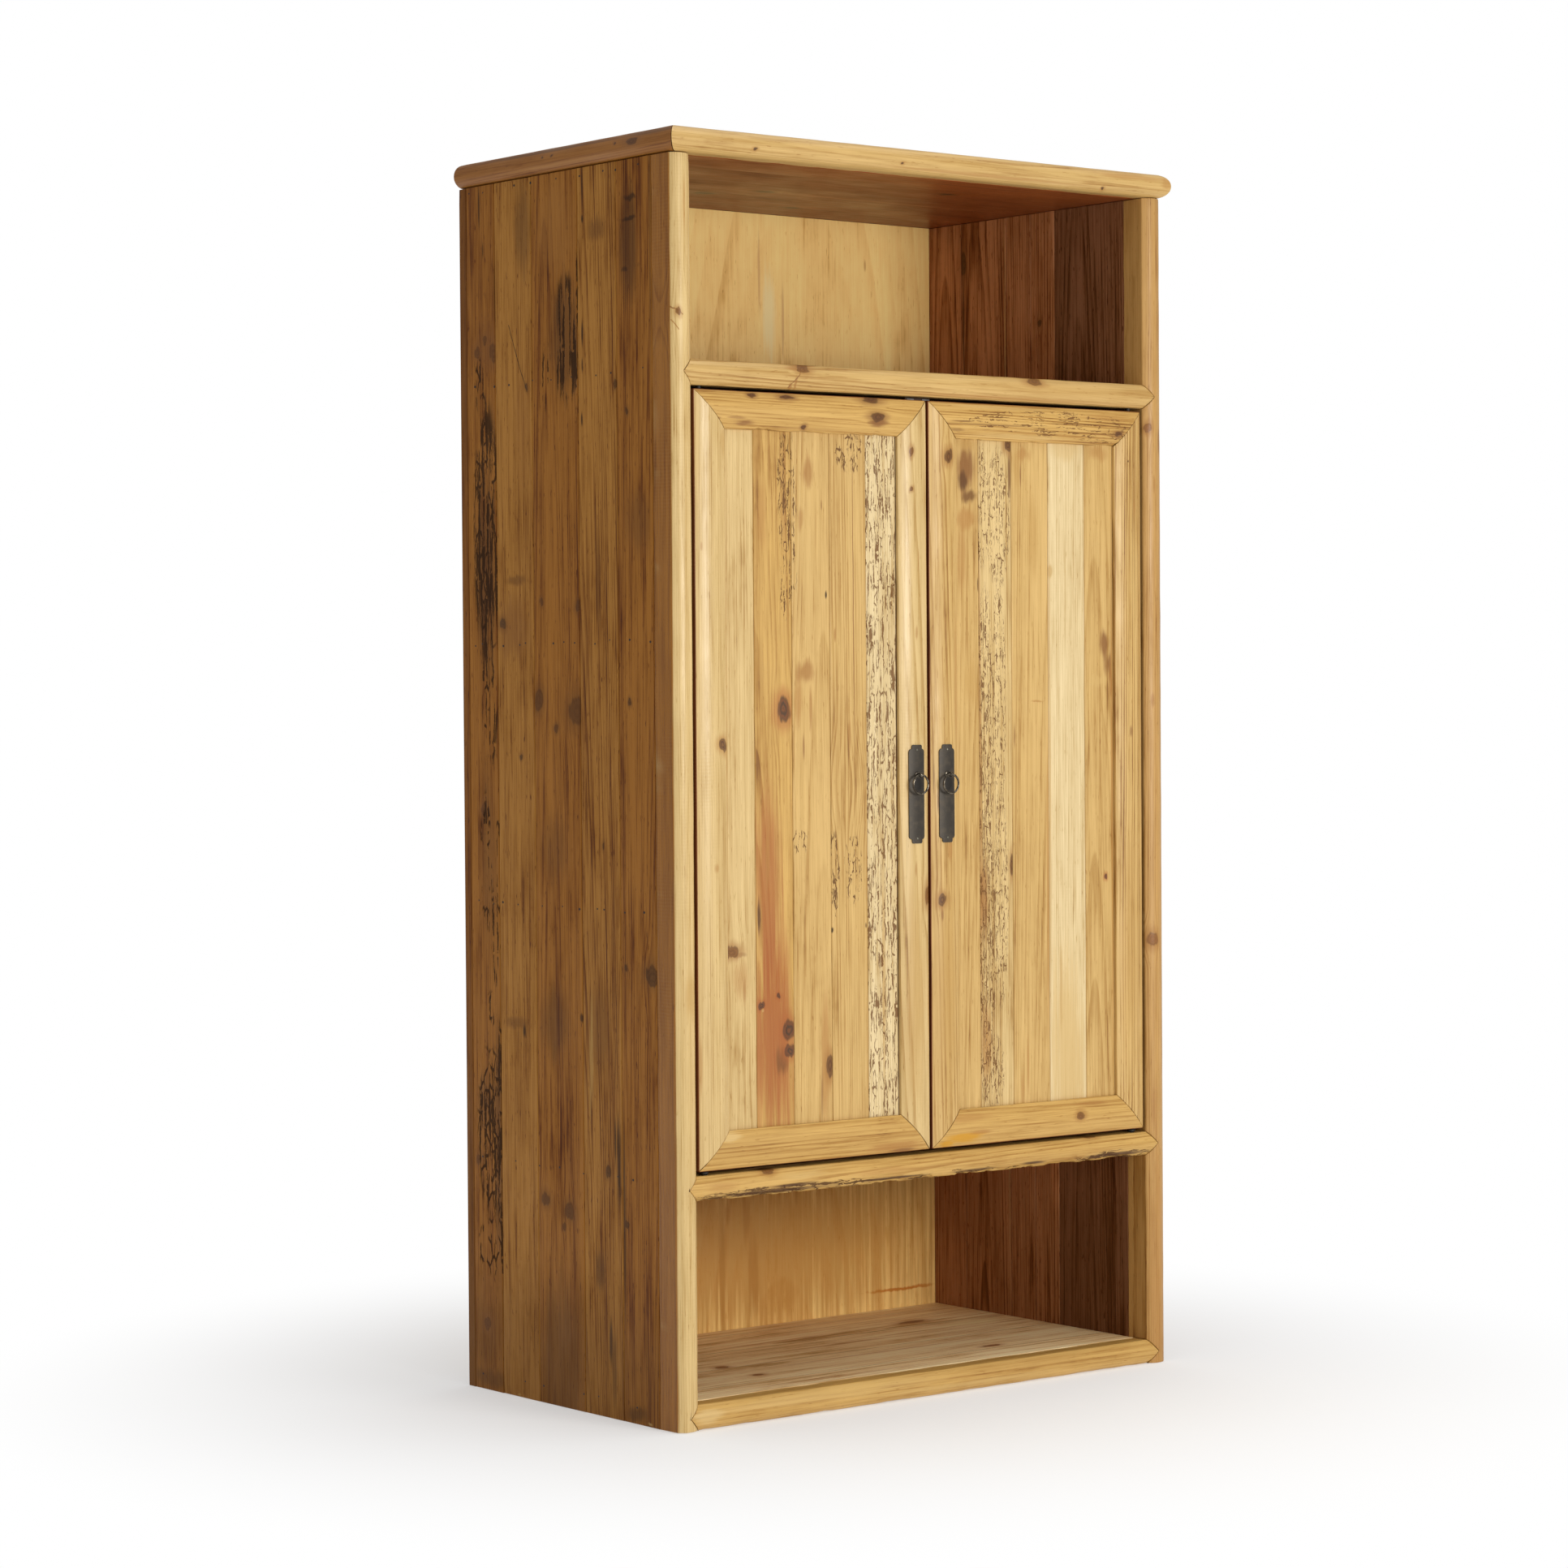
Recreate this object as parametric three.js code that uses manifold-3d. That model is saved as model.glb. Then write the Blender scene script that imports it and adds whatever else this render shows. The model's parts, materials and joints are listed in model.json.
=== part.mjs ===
// A tall armoire in old pine: an open bay over a pair of panelled doors over another open bay.
// Round-fronted posts and rails meet in V joints.
// The doors turn on pivot pins, and each door has a ring pull.
// Millimetres, +Z up, front towards -Y, origin on the floor under the middle of the whole piece.
import * as THREE from "three";
import { mergeVertices } from "three/addons/utils/BufferGeometryUtils.js";
import Module from "manifold-3d";

const wasm = await Module();
wasm.setup();

// ---------------------------------------------------------------- overall
const carcassWidth = 1030; // over the outer faces of the posts
const carcassDepth = 580; // from the crest of the front posts to the back
const height = 2000;
const topThickness = 40;
const topSideOverhang = 10;
const topFrontOverhang = 12;
const upperBayHeight = 313; // clear height of the open bay under the top
const lowerBayHeight = 312; // clear height of the open bay over the floor
const fit = 0.3; // gap between pieces that touch
const running = 0.3; // gap round what turns
const ease = 1.2; // chamfer along the edges of the boards
const mostEase = 0.25; // share of a board's width that a chamfer may take

// ---------------------------------------------------------------- frame
const faceWidth = 40; // face of each post and carcass rail, which makes their V joints 45 degrees
const faceCrest = 10; // how far the round front stands out at the middle of its face
const frontPostDepth = 54;
const railDepth = 40;
const rearPostWidth = 60;
const rearPostDepth = 20;
const rearRailHeight = 60;
const backPanelThickness = 5;
const shelfThickness = 25;
const mouldingDepth = 40; // the half-round edging of the top, front to back
const leftBoardShares = [93, 103, 126, 103, 81]; // widths of the side boards, front to back
const rightBoardShares = [172, 61, 63, 120, 90];

// ---------------------------------------------------------------- doors
const doorSideGap = 5;
const doorCentreGap = 4;
const doorTopGap = 5;
const doorBottomGap = 6;
const memberWidth = 60; // face of the mitred door frame
const memberEdge = 21; // thickness of the door frame at its edges
const memberCrest = 7.5; // and how much it swells at the middle of its face
const panelRecess = 6; // from the edge of the frame back to the face of the panel boards
const panelThickness = 11;
const tongue = 8; // how far the boards go into the groove of the frame
const leftPanelShares = [61.5, 74.5, 77, 75, 60]; // widths of the panel boards, from the middle outwards
const rightPanelShares = [52.4, 71.1, 80.3, 81.4, 62.8];
const pivotInset = 18; // from the outer edge of the door to its pivot
const pinRadius = 4;
const pinDepth = 21; // how far a pin goes into the door, and into the rail
const collarRadius = 7; // the bottom pin's collar, which the door rests on

// ---------------------------------------------------------------- catch and pulls
const catchSize = new THREE.Vector3(52, 15, 13);
const strikeSize = new THREE.Vector3(15, 1.2, 12);
const strikeFromMiddle = 16; // from the middle of the piece to the middle of a strike
const plateWidth = 32;
const plateHeight = 158;
const plateThickness = 1.6;
const plateTongueWidth = 21; // the narrow part at each end of the plate
const plateTongueHeight = 6.5;
const plateTongueRound = 3;
const plateShoulder = 5.5; // height of the round shoulder under it
const plateCentreHeight = 573; // over the bottom of the door
const eyeAboveCentre = 31;
const ringRadius = 15.25; // to the middle of the wire
const wireRadius = 1.75;
const eyeRadius = 3.9; // the ball that holds the ring
const eyeClearance = 0.55; // round the wire, which curves inside the eye
const eyeStemRadius = 2.9;
const eyeFlangeRadius = 5.6;
const eyeFlangeThickness = 1.1;
const eyeFillet = 0.55; // height of the slope from the flange to the stem
const eyeReach = 8.6; // from the face of the plate to the middle of the ball

const steps = 16; // facets along each round front
const fewSteps = 6; // and along the small arcs of the pulls
const pinBevel = 0.2; // share of a pin's radius, taken off at each end
const turned = 24; // facets round a turned piece
const eyeFacets = 8; // and from the neck of the eye to its top
const ringSteps = 36; // facets round the ring, and ringSides round its wire
const ringSides = 10;

// ---------------------------------------------------------------- heights and depths that follow
const topUnder = height - topThickness;
const yBack = (carcassDepth + topFrontOverhang) / 2;
const yCrest = yBack - carcassDepth;
const xOuter = carcassWidth / 2;
const xInner = xOuter - faceWidth;
const lowerRailBottom = faceWidth + lowerBayHeight;
const lowerRailTop = lowerRailBottom + faceWidth;
const upperRailTop = topUnder - upperBayHeight;
const upperRailBottom = upperRailTop - faceWidth;
const railLevels = [0, lowerRailBottom, upperRailBottom];
const yRailBack = yCrest + railDepth;
const yPostBack = yCrest + frontPostDepth;
const yRearPost = yBack - rearPostDepth;
const yPanelFront = yRearPost - backPanelThickness;
const doorWidth = xInner - doorSideGap - doorCentreGap / 2;
const doorBottom = lowerRailTop + doorBottomGap;
const doorHeight = upperRailBottom - doorTopGap - doorBottom;
const yDoorEdge = yCrest + faceCrest; // the doors' edges lie level with the edges of the posts
const yPivot = yDoorEdge + memberEdge / 2;
const xPivot = xInner - doorSideGap - pivotInset;

// ---------------------------------------------------------------- shapes
function solidOf(geometry) {
  const bare = geometry.index ? geometry.toNonIndexed() : geometry.clone();
  bare.deleteAttribute("normal");
  bare.deleteAttribute("uv");
  const merged = mergeVertices(bare, 1e-4);
  return new wasm.Manifold(
    new wasm.Mesh({
      numProp: 3,
      vertProperties: merged.attributes.position.array,
      triVerts: new Uint32Array(merged.index.array),
    }),
  );
}

function geometryOf(solid) {
  const { vertProperties, triVerts } = solid.getMesh();
  const geometry = new THREE.BufferGeometry();
  geometry.setAttribute("position", new THREE.BufferAttribute(vertProperties, 3));
  geometry.setIndex(new THREE.BufferAttribute(triVerts, 1));
  const flat = geometry.toNonIndexed();
  flat.computeVertexNormals();
  return flat;
}

function shapeOf(points) {
  return new THREE.Shape(points.map(([u, v]) => new THREE.Vector2(u, v)));
}

// A prism of an outline.
// Along z the outline is drawn across (x, y), along y across (x, z), along x across (y, z).
function prism(outline, axis, from, to, curveSegments = steps) {
  const shape = Array.isArray(outline) ? shapeOf(outline) : outline;
  const depth = to - from;
  const geometry = new THREE.ExtrudeGeometry(shape, { depth, bevelEnabled: false, curveSegments });
  const [x, y, z] = [0, 1, 2].map((i) => new THREE.Vector3().setComponent(i, 1));
  const turn = new THREE.Matrix4();
  if (axis === "x") turn.makeBasis(y, z, x).setPosition(from, 0, 0);
  if (axis === "y") turn.makeBasis(x, z, y.clone().negate()).setPosition(0, to, 0);
  if (axis === "z") turn.makeBasis(x, y, z).setPosition(0, 0, from);
  return solidOf(geometry.applyMatrix4(turn));
}

// The cross-section of a board, with its four long edges eased.
function easedOutline(u0, u1, v0, v1) {
  const c = Math.min(ease, (u1 - u0) * mostEase, (v1 - v0) * mostEase);
  return [
    [u0 + c, v0],
    [u1 - c, v0],
    [u1, v0 + c],
    [u1, v1 - c],
    [u1 - c, v1],
    [u0 + c, v1],
    [u0, v1 - c],
    [u0, v0 + c],
  ];
}

// The radius of an arc over a chord of this width that rises by crest.
function arcRadius(width, crest) {
  return (width * width) / 8 / crest + crest / 2;
}

// The outline of a bar with a round front, crest at y = 0 and its width across x.
function crestOutline(width, crest, depth) {
  const radius = arcRadius(width, crest);
  const half = Math.asin(width / 2 / radius);
  const shape = new THREE.Shape();
  shape.moveTo(width / 2, depth);
  shape.lineTo(-width / 2, depth);
  shape.absarc(0, radius, radius, -Math.PI / 2 - half, -Math.PI / 2 + half, false);
  return shape;
}

// A round-fronted bar that stands up, or lies along x when level is true, centred on the other axis.
function crestBar(width, crest, depth, from, to, level) {
  const bar = prism(crestOutline(width, crest, depth), "z", from, to);
  return level ? bar.rotate([0, 90, 0]) : bar;
}

function pin(radius, from, to) {
  const bevel = radius * pinBevel;
  const profile = [
    [0, from],
    [radius - bevel, from],
    [radius, from + bevel],
    [radius, to - bevel],
    [radius - bevel, to],
    [0, to],
  ];
  return lathe(profile);
}

// What a drill takes out.
function bore(radius, from, to) {
  const profile = [
    [0, from],
    [radius, from],
    [radius, to],
    [0, to],
  ];
  return lathe(profile);
}

// A turned solid about z from a profile of [radius, height] points.
function lathe(profile) {
  const points = profile.map(([r, z]) => new THREE.Vector2(r, z));
  const geometry = new THREE.LatheGeometry(points, turned);
  return solidOf(geometry.rotateX(Math.PI / 2));
}

// Where each piece of a row starts and ends, for widths in proportion to their shares.
function spans(shares, from, to) {
  const total = shares.reduce((sum, share) => sum + share, 0);
  let at = from;
  return shares.map((share) => {
    const start = at;
    at += (share / total) * (to - from);
    return [start, at];
  });
}

// ---------------------------------------------------------------- materials and scene graph
const finishes = {
  honeyPine: { color: 0xc9974f, roughness: 0.55, metalness: 0 },
  agedPine: { color: 0x8a5f32, roughness: 0.65, metalness: 0 },
  darkPine: { color: 0x6b452a, roughness: 0.7, metalness: 0 },
  greyPine: { color: 0x8f7451, roughness: 0.7, metalness: 0 },
  plywood: { color: 0xc79a5c, roughness: 0.6, metalness: 0 },
  darkBronze: { color: 0x3b3630, roughness: 0.4, metalness: 0.9 },
  steel: { color: 0x8c8c8a, roughness: 0.35, metalness: 1 },
  brownPlastic: { color: 0x4a3426, roughness: 0.5, metalness: 0 },
};

const armoire = new THREE.Group();
armoire.name = "armoire";

function add(group, name, solid, finish, position = [0, 0, 0]) {
  const material = new THREE.MeshStandardMaterial({ ...finishes[finish], flatShading: true });
  const mesh = new THREE.Mesh(geometryOf(solid), material);
  mesh.name = name;
  mesh.position.set(...position);
  group.add(mesh);
}

const sides = [
  ["left", -1, leftBoardShares, leftPanelShares],
  ["right", 1, rightBoardShares, rightPanelShares],
];

// ---------------------------------------------------------------- carcass
const carcass = new THREE.Group();
carcass.name = "carcass";
armoire.add(carcass);

// The pointed end of a rail drawn across (x, z): its apex lies in the middle of the post's face.
function railOutline(bottom, grow) {
  const reach = xOuter - faceWidth / 2 + grow;
  const middle = bottom + faceWidth / 2;
  const shoulder = reach - faceWidth / 2;
  return [
    [-reach, middle],
    [-shoulder, middle - faceWidth / 2],
    [shoulder, middle - faceWidth / 2],
    [reach, middle],
    [shoulder, middle + faceWidth / 2],
    [-shoulder, middle + faceWidth / 2],
  ];
}

// The same V as a notch for one post, a little larger all round and open towards the middle of the piece.
function vNotch(bottom, side) {
  const grow = fit * Math.SQRT2;
  const reach = xOuter - faceWidth / 2 + grow;
  const open = faceWidth;
  const middle = bottom + faceWidth / 2;
  const outline = [
    [side * reach, middle],
    [side * (reach - open), middle + open],
    [side * (reach - open), middle - open],
  ];
  return prism(outline, "y", yCrest - faceCrest, yRailBack + fit);
}

function frontPost(side) {
  const post = crestBar(faceWidth, faceCrest, frontPostDepth, 0, topUnder - fit, false);
  const placed = post.translate([side * (xOuter - faceWidth / 2), yCrest, 0]);
  return railLevels.reduce((wood, level) => wood.subtract(vNotch(level, side)), placed);
}

function pivotBore(side, from, to) {
  return bore(pinRadius + running, from, to).translate([side * xPivot, yPivot, 0]);
}

function carcassRail(bottom) {
  const bar = crestBar(faceWidth, faceCrest, railDepth, -xOuter, xOuter, true);
  const placed = bar.translate([0, yCrest, bottom + faceWidth / 2]);
  const ends = prism(railOutline(bottom, 0), "y", yCrest - faceCrest, yRailBack + fit);
  let rail = placed.intersect(ends);
  for (const side of [-1, 1]) {
    const deep = pinDepth + running;
    if (bottom === lowerRailBottom) {
      rail = rail.subtract(pivotBore(side, lowerRailTop - deep, lowerRailTop + running));
    }
    if (bottom === upperRailBottom) {
      rail = rail.subtract(pivotBore(side, upperRailBottom - running, upperRailBottom + deep));
    }
  }
  return rail;
}

for (const [word, side, boardShares] of sides) {
  add(carcass, `${word}_front_post`, frontPost(side), "honeyPine");

  const rearX = [side * xOuter, side * (xOuter - rearPostWidth)].sort((a, b) => a - b);
  const rearOutline = easedOutline(rearX[0], rearX[1], yRearPost, yBack);
  add(carcass, `${word}_rear_post`, prism(rearOutline, "z", 0, topUnder - fit), "agedPine");

  spans(boardShares, yPostBack, yRearPost).forEach(([front, back], i) => {
    const low = Math.min(side * xInner, side * xOuter);
    const outline = easedOutline(low, low + faceWidth, front + fit / 2, back - fit / 2);
    add(carcass, `${word}_side_board_${i + 1}`, prism(outline, "z", 0, topUnder - fit), "agedPine");
  });
}

["bottom_rail", "lower_rail", "upper_rail"].forEach((name, i) => {
  add(carcass, name, carcassRail(railLevels[i]), "honeyPine");
});

// Boards that span the inside, from a front edge to the back panel.
function shelf(top, front) {
  const outline = easedOutline(front, yPanelFront - fit, top - shelfThickness, top);
  return prism(outline, "x", -xInner + fit, xInner - fit);
}

add(carcass, "floor_board", shelf(faceWidth, yRailBack + fit), "greyPine");
add(carcass, "lower_shelf", shelf(lowerRailTop, yRailBack + fit), "greyPine");
add(carcass, "upper_shelf", shelf(upperRailTop, yRailBack + fit), "greyPine");

const innerClear = (upperRailTop - shelfThickness - lowerRailTop - 2 * shelfThickness) / 3;
["lower_inner_shelf", "upper_inner_shelf"].forEach((name, i) => {
  const top = lowerRailTop + (i + 1) * (innerClear + shelfThickness);
  add(carcass, name, shelf(top, yPostBack), "darkPine");
});

const panelBox = easedOutline(-xInner + fit, xInner - fit, yPanelFront, yRearPost - fit);
const panelFoot = faceWidth - shelfThickness;
add(carcass, "back_panel", prism(panelBox, "z", panelFoot, topUnder - fit), "plywood");

function rearRail(bottom) {
  const end = xOuter - rearPostWidth - fit;
  return prism(easedOutline(yRearPost, yBack, bottom, bottom + rearRailHeight), "x", -end, end);
}

add(carcass, "rear_bottom_rail", rearRail(panelFoot), "agedPine");
add(carcass, "rear_top_rail", rearRail(topUnder - fit - rearRailHeight), "agedPine");

// ---------------------------------------------------------------- top
const xTop = xOuter + topSideOverhang;
const yTop = yCrest - topFrontOverhang;

// A half-round edging, drawn with its nose at 0 and its flat back at mouldingDepth.
function bullnoseOutline() {
  const radius = topThickness / 2;
  const shape = new THREE.Shape();
  shape.moveTo(mouldingDepth, 0);
  shape.lineTo(mouldingDepth, topThickness);
  shape.absarc(radius, radius, radius, Math.PI / 2, 1.5 * Math.PI, false);
  return shape;
}

// The edging runs along x for the front, and along y for a side, and is cut to its outline seen from above.
function moulding(plan, side) {
  const reach = carcassWidth + carcassDepth;
  let bar = prism(bullnoseOutline(), "x", -reach, reach).translate([0, 0, topUnder]);
  if (side) bar = bar.rotate([0, 0, side > 0 ? 90 : -90]).translate([side * xTop, 0, 0]);
  else bar = bar.translate([0, yTop, 0]);
  return bar.intersect(prism(plan, "z", topUnder, height));
}

const mitreGap = fit / Math.SQRT2;
const frontPlan = [
  [-xTop + mitreGap, yTop],
  [xTop - mitreGap, yTop],
  [xTop - mouldingDepth - mitreGap, yTop + mouldingDepth],
  [-xTop + mouldingDepth + mitreGap, yTop + mouldingDepth],
];
add(carcass, "top_front_moulding", moulding(frontPlan, 0), "honeyPine");

for (const [word, side] of sides) {
  const sidePlan = [
    [side * xTop, yTop + mitreGap],
    [side * xTop, yBack],
    [side * (xTop - mouldingDepth), yBack],
    [side * (xTop - mouldingDepth), yTop + mouldingDepth + mitreGap],
  ];
  add(carcass, `top_${word}_moulding`, moulding(sidePlan, side), "honeyPine");
}

const topEnd = xTop - mouldingDepth - fit;
const topOutline = easedOutline(yTop + mouldingDepth + fit, yBack, topUnder, height);
add(carcass, "top_panel", prism(topOutline, "x", -topEnd, topEnd), "agedPine");

// ---------------------------------------------------------------- catch
// A double catch under the upper rail stops both doors, which each carry a steel strike.
function block(size) {
  const outline = easedOutline(-size.x / 2, size.x / 2, -size.z / 2, size.z / 2);
  return prism(outline, "y", -size.y / 2, size.y / 2);
}

const yDoorBack = yDoorEdge + memberEdge;
const yCatch = yDoorBack + strikeSize.y + 2 * fit + catchSize.y / 2;
const zCatch = upperRailBottom - fit - catchSize.z / 2;
add(carcass, "double_catch", block(catchSize), "brownPlastic", [0, yCatch, zCatch]);

// ---------------------------------------------------------------- doors
// Each door is drawn from its pivot: x runs along the door, y = 0 is the pivot line, z = 0 its bottom edge.
const panelFace = -memberEdge / 2 + panelRecess;
const grooveDepth = tongue + 2 * fit;

function doorMember(from, to, level) {
  const bar = crestBar(memberWidth, memberCrest, memberEdge + memberCrest, from, to, level);
  return bar.translate([0, -memberEdge / 2 - memberCrest, 0]);
}

function makeDoor(word, side, panelShares) {
  const door = new THREE.Group();
  door.name = `${word}_door`;
  door.position.set(side * xPivot, yPivot, doorBottom);
  armoire.add(door);

  // x of a point this far in from the outer edge of the door
  const along = (inset) => side * (pivotInset - inset);
  const openingX = [along(memberWidth), along(doorWidth - memberWidth)].sort((a, b) => a - b);
  const openingZ = [memberWidth, doorHeight - memberWidth];

  const groove = prism(
    [
      [openingX[0] - grooveDepth, openingZ[0] - grooveDepth],
      [openingX[1] + grooveDepth, openingZ[0] - grooveDepth],
      [openingX[1] + grooveDepth, openingZ[1] + grooveDepth],
      [openingX[0] - grooveDepth, openingZ[1] + grooveDepth],
    ],
    "y",
    panelFace - fit,
    panelFace + panelThickness + fit,
  );
  const bores = [
    bore(pinRadius + running, -running, pinDepth + running),
    bore(pinRadius + running, doorHeight - pinDepth - running, doorHeight + running),
  ];

  // Each member is a bar cut to its mitred outline, and grooved and bored where it meets its neighbours.
  function member(bar, outline) {
    const cut = bar.intersect(prism(outline, "y", -memberEdge, memberEdge)).subtract(groove);
    return bores.reduce((wood, hole) => wood.subtract(hole), cut);
  }

  for (const [name, outer, inner] of [
    ["outer_stile", 0, memberWidth],
    ["inner_stile", doorWidth, doorWidth - memberWidth],
  ]) {
    const middle = along((outer + inner) / 2);
    const bar = doorMember(0, doorHeight, false).translate([middle, 0, 0]);
    const outline = [
      [along(outer), mitreGap],
      [along(inner), memberWidth + mitreGap],
      [along(inner), doorHeight - memberWidth - mitreGap],
      [along(outer), doorHeight - mitreGap],
    ];
    add(door, `${word}_door_${name}`, member(bar, outline), "honeyPine");
  }

  for (const [name, outer, inner] of [
    ["bottom_rail", 0, memberWidth],
    ["top_rail", doorHeight, doorHeight - memberWidth],
  ]) {
    const bar = doorMember(-doorWidth, doorWidth, true).translate([0, 0, (outer + inner) / 2]);
    const outline = [
      [along(mitreGap), outer],
      [along(memberWidth + mitreGap), inner],
      [along(doorWidth - memberWidth - mitreGap), inner],
      [along(doorWidth - mitreGap), outer],
    ];
    add(door, `${word}_door_${name}`, member(bar, outline), "honeyPine");
  }

  // The panel boards run from the middle of the piece outwards.
  // The first and the last have a tongue in a stile.
  const row = spans(panelShares, doorWidth - memberWidth, memberWidth);
  row.forEach(([near, far], i) => {
    const start = near + (i === 0 ? tongue : -fit / 2);
    const end = far - (i === row.length - 1 ? tongue : -fit / 2);
    const [low, high] = [along(start), along(end)].sort((a, b) => a - b);
    const outline = easedOutline(low, high, panelFace, panelFace + panelThickness);
    const board = prism(outline, "z", openingZ[0] - tongue, openingZ[1] + tongue);
    add(door, `${word}_panel_board_${i + 1}`, board, "honeyPine");
  });

  // The bottom pin has a collar that fills the gap under the door and carries its weight.
  const collarTop = -running;
  const collarBottom = -doorBottomGap + running;
  const bottomPin = pin(pinRadius, -doorBottomGap - pinDepth, pinDepth).add(
    pin(collarRadius, collarBottom, collarTop),
  );
  const topPin = pin(pinRadius, doorHeight - pinDepth, doorHeight + doorTopGap + pinDepth);
  add(door, `${word}_bottom_pivot_pin`, bottomPin, "steel");
  add(door, `${word}_top_pivot_pin`, topPin, "steel");

  const strikePosition = [
    side * (strikeFromMiddle - xPivot),
    memberEdge / 2 + fit + strikeSize.y / 2,
    upperRailBottom - fit - catchSize.z / 2 - doorBottom - (catchSize.z - strikeSize.z) / 2,
  ];
  add(door, `${word}_door_strike`, block(strikeSize), "steel", strikePosition);

  makePull(word, door, along(doorWidth - memberWidth / 2));
}

// ---------------------------------------------------------------- ring pulls
// The plate is drawn across (x, z) from its middle, with a narrow tongue at each end over round shoulders.
function plateOutline() {
  const half = plateWidth / 2;
  const narrow = plateTongueWidth / 2;
  const end = plateHeight / 2;
  const r = plateTongueRound;
  const step = half - narrow;
  const shoulderTop = end - plateTongueHeight;
  const quarter = Math.PI / 2;
  const bend = shoulderTop - plateShoulder; // height of the middle of each shoulder
  const shape = new THREE.Shape();
  shape.moveTo(half, 0);
  const shoulder = (x, y, turn) =>
    shape.absellipse(x, y, step, plateShoulder, turn * quarter, (turn + 1) * quarter, false, 0);
  shoulder(narrow, bend, 0);
  shape.absarc(narrow - r, end - r, r, 0, quarter, false);
  shape.absarc(-narrow + r, end - r, r, quarter, 2 * quarter, false);
  shape.lineTo(-narrow, shoulderTop);
  shoulder(-narrow, bend, 1);
  shoulder(-narrow, -bend, 2);
  shape.absarc(-narrow + r, r - end, r, 2 * quarter, 3 * quarter, false);
  shape.absarc(narrow - r, r - end, r, 3 * quarter, 4 * quarter, false);
  shape.lineTo(narrow, -shoulderTop);
  shoulder(narrow, -bend, 3);
  return shape;
}

// The plate is bent to the round face of the stile, whose crest is at y = 0.
function pullPlate() {
  const stileRadius = arcRadius(memberWidth, memberCrest);
  const inner = stileRadius + fit;
  const outer = inner + plateThickness;
  const half = Math.asin(Math.min(1, plateWidth / inner));
  const down = -Math.PI / 2;
  const shell = new THREE.Shape();
  shell.absarc(0, stileRadius, outer, down - half, down + half, false);
  shell.absarc(0, stileRadius, inner, down + half, down - half, true);
  const sheet = prism(shell, "z", -plateHeight, plateHeight);
  return sheet.intersect(prism(plateOutline(), "y", -stileRadius, stileRadius, fewSteps));
}

// The eye stands on the plate, with its ball at the origin and the ring's wire through it along x.
function pullEye() {
  const base = -eyeReach + fit;
  const profile = [
    [0, base],
    [eyeFlangeRadius, base],
    [eyeFlangeRadius - eyeFlangeThickness / 2, base + eyeFlangeThickness],
    [eyeStemRadius, base + eyeFlangeThickness + eyeFillet],
  ];
  const neck = -Math.acos(eyeStemRadius / eyeRadius);
  for (let i = 0; i <= eyeFacets; i++) {
    const angle = neck + ((Math.PI / 2 - neck) * i) / eyeFacets;
    const radius = i === eyeFacets ? 0 : eyeRadius * Math.cos(angle);
    profile.push([radius, eyeRadius * Math.sin(angle)]);
  }
  const stem = lathe(profile).rotate([90, 0, 0]);
  const hole = bore(wireRadius + eyeClearance, -2 * eyeRadius, 2 * eyeRadius).rotate([0, 90, 0]);
  return stem.subtract(hole);
}

function makePull(word, door, x) {
  const pull = new THREE.Group();
  pull.name = `${word}_pull`;
  pull.position.set(x, -memberEdge / 2 - memberCrest, plateCentreHeight);
  door.add(pull);
  add(pull, `${word}_pull_plate`, pullPlate(), "darkBronze");

  const eye = new THREE.Group();
  eye.name = `${word}_pull_eye_group`;
  eye.position.set(0, -fit - plateThickness - eyeReach, eyeAboveCentre);
  pull.add(eye);
  add(eye, `${word}_pull_eye`, pullEye(), "darkBronze");

  const ring = new THREE.TorusGeometry(ringRadius, wireRadius, ringSides, ringSteps);
  add(eye, `${word}_ring`, solidOf(ring.rotateX(Math.PI / 2)), "darkBronze", [0, 0, -ringRadius]);
}

for (const [word, side, , panelShares] of sides) makeDoor(word, side, panelShares);

export default armoire;
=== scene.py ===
import json
import math
import random

import bmesh
import bpy
from mathutils import Matrix, Vector, noise


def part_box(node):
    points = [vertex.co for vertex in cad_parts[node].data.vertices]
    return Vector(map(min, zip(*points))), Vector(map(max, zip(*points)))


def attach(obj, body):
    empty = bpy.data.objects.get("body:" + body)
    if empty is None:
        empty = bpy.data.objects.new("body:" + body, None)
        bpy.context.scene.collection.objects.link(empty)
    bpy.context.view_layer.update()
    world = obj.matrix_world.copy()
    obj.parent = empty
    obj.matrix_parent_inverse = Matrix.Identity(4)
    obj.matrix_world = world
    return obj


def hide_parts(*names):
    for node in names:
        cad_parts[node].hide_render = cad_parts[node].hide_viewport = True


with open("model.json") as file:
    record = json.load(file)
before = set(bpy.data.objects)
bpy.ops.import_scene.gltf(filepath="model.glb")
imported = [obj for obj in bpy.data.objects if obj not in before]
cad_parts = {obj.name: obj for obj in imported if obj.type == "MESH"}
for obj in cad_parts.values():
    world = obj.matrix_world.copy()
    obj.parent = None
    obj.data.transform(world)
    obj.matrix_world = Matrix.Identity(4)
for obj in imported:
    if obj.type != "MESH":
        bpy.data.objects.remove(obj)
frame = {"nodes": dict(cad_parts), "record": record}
scene = bpy.context.scene
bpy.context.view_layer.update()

# %% [markdown]
# ## Units and names
# Joiners think in millimetres, and Blender here works in metres, so every length
# below is written in millimetres and multiplied by MM where it is used. Each board
# also has to know which moving body it belongs to: the carcass, a door or a ring.
# %% Units and bodies
MM = 0.001
BODY_OF = {}
for body, members in frame["record"]["behaviour"]["bodies"].items():
    for member in members:
        BODY_OF[member] = body

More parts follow.
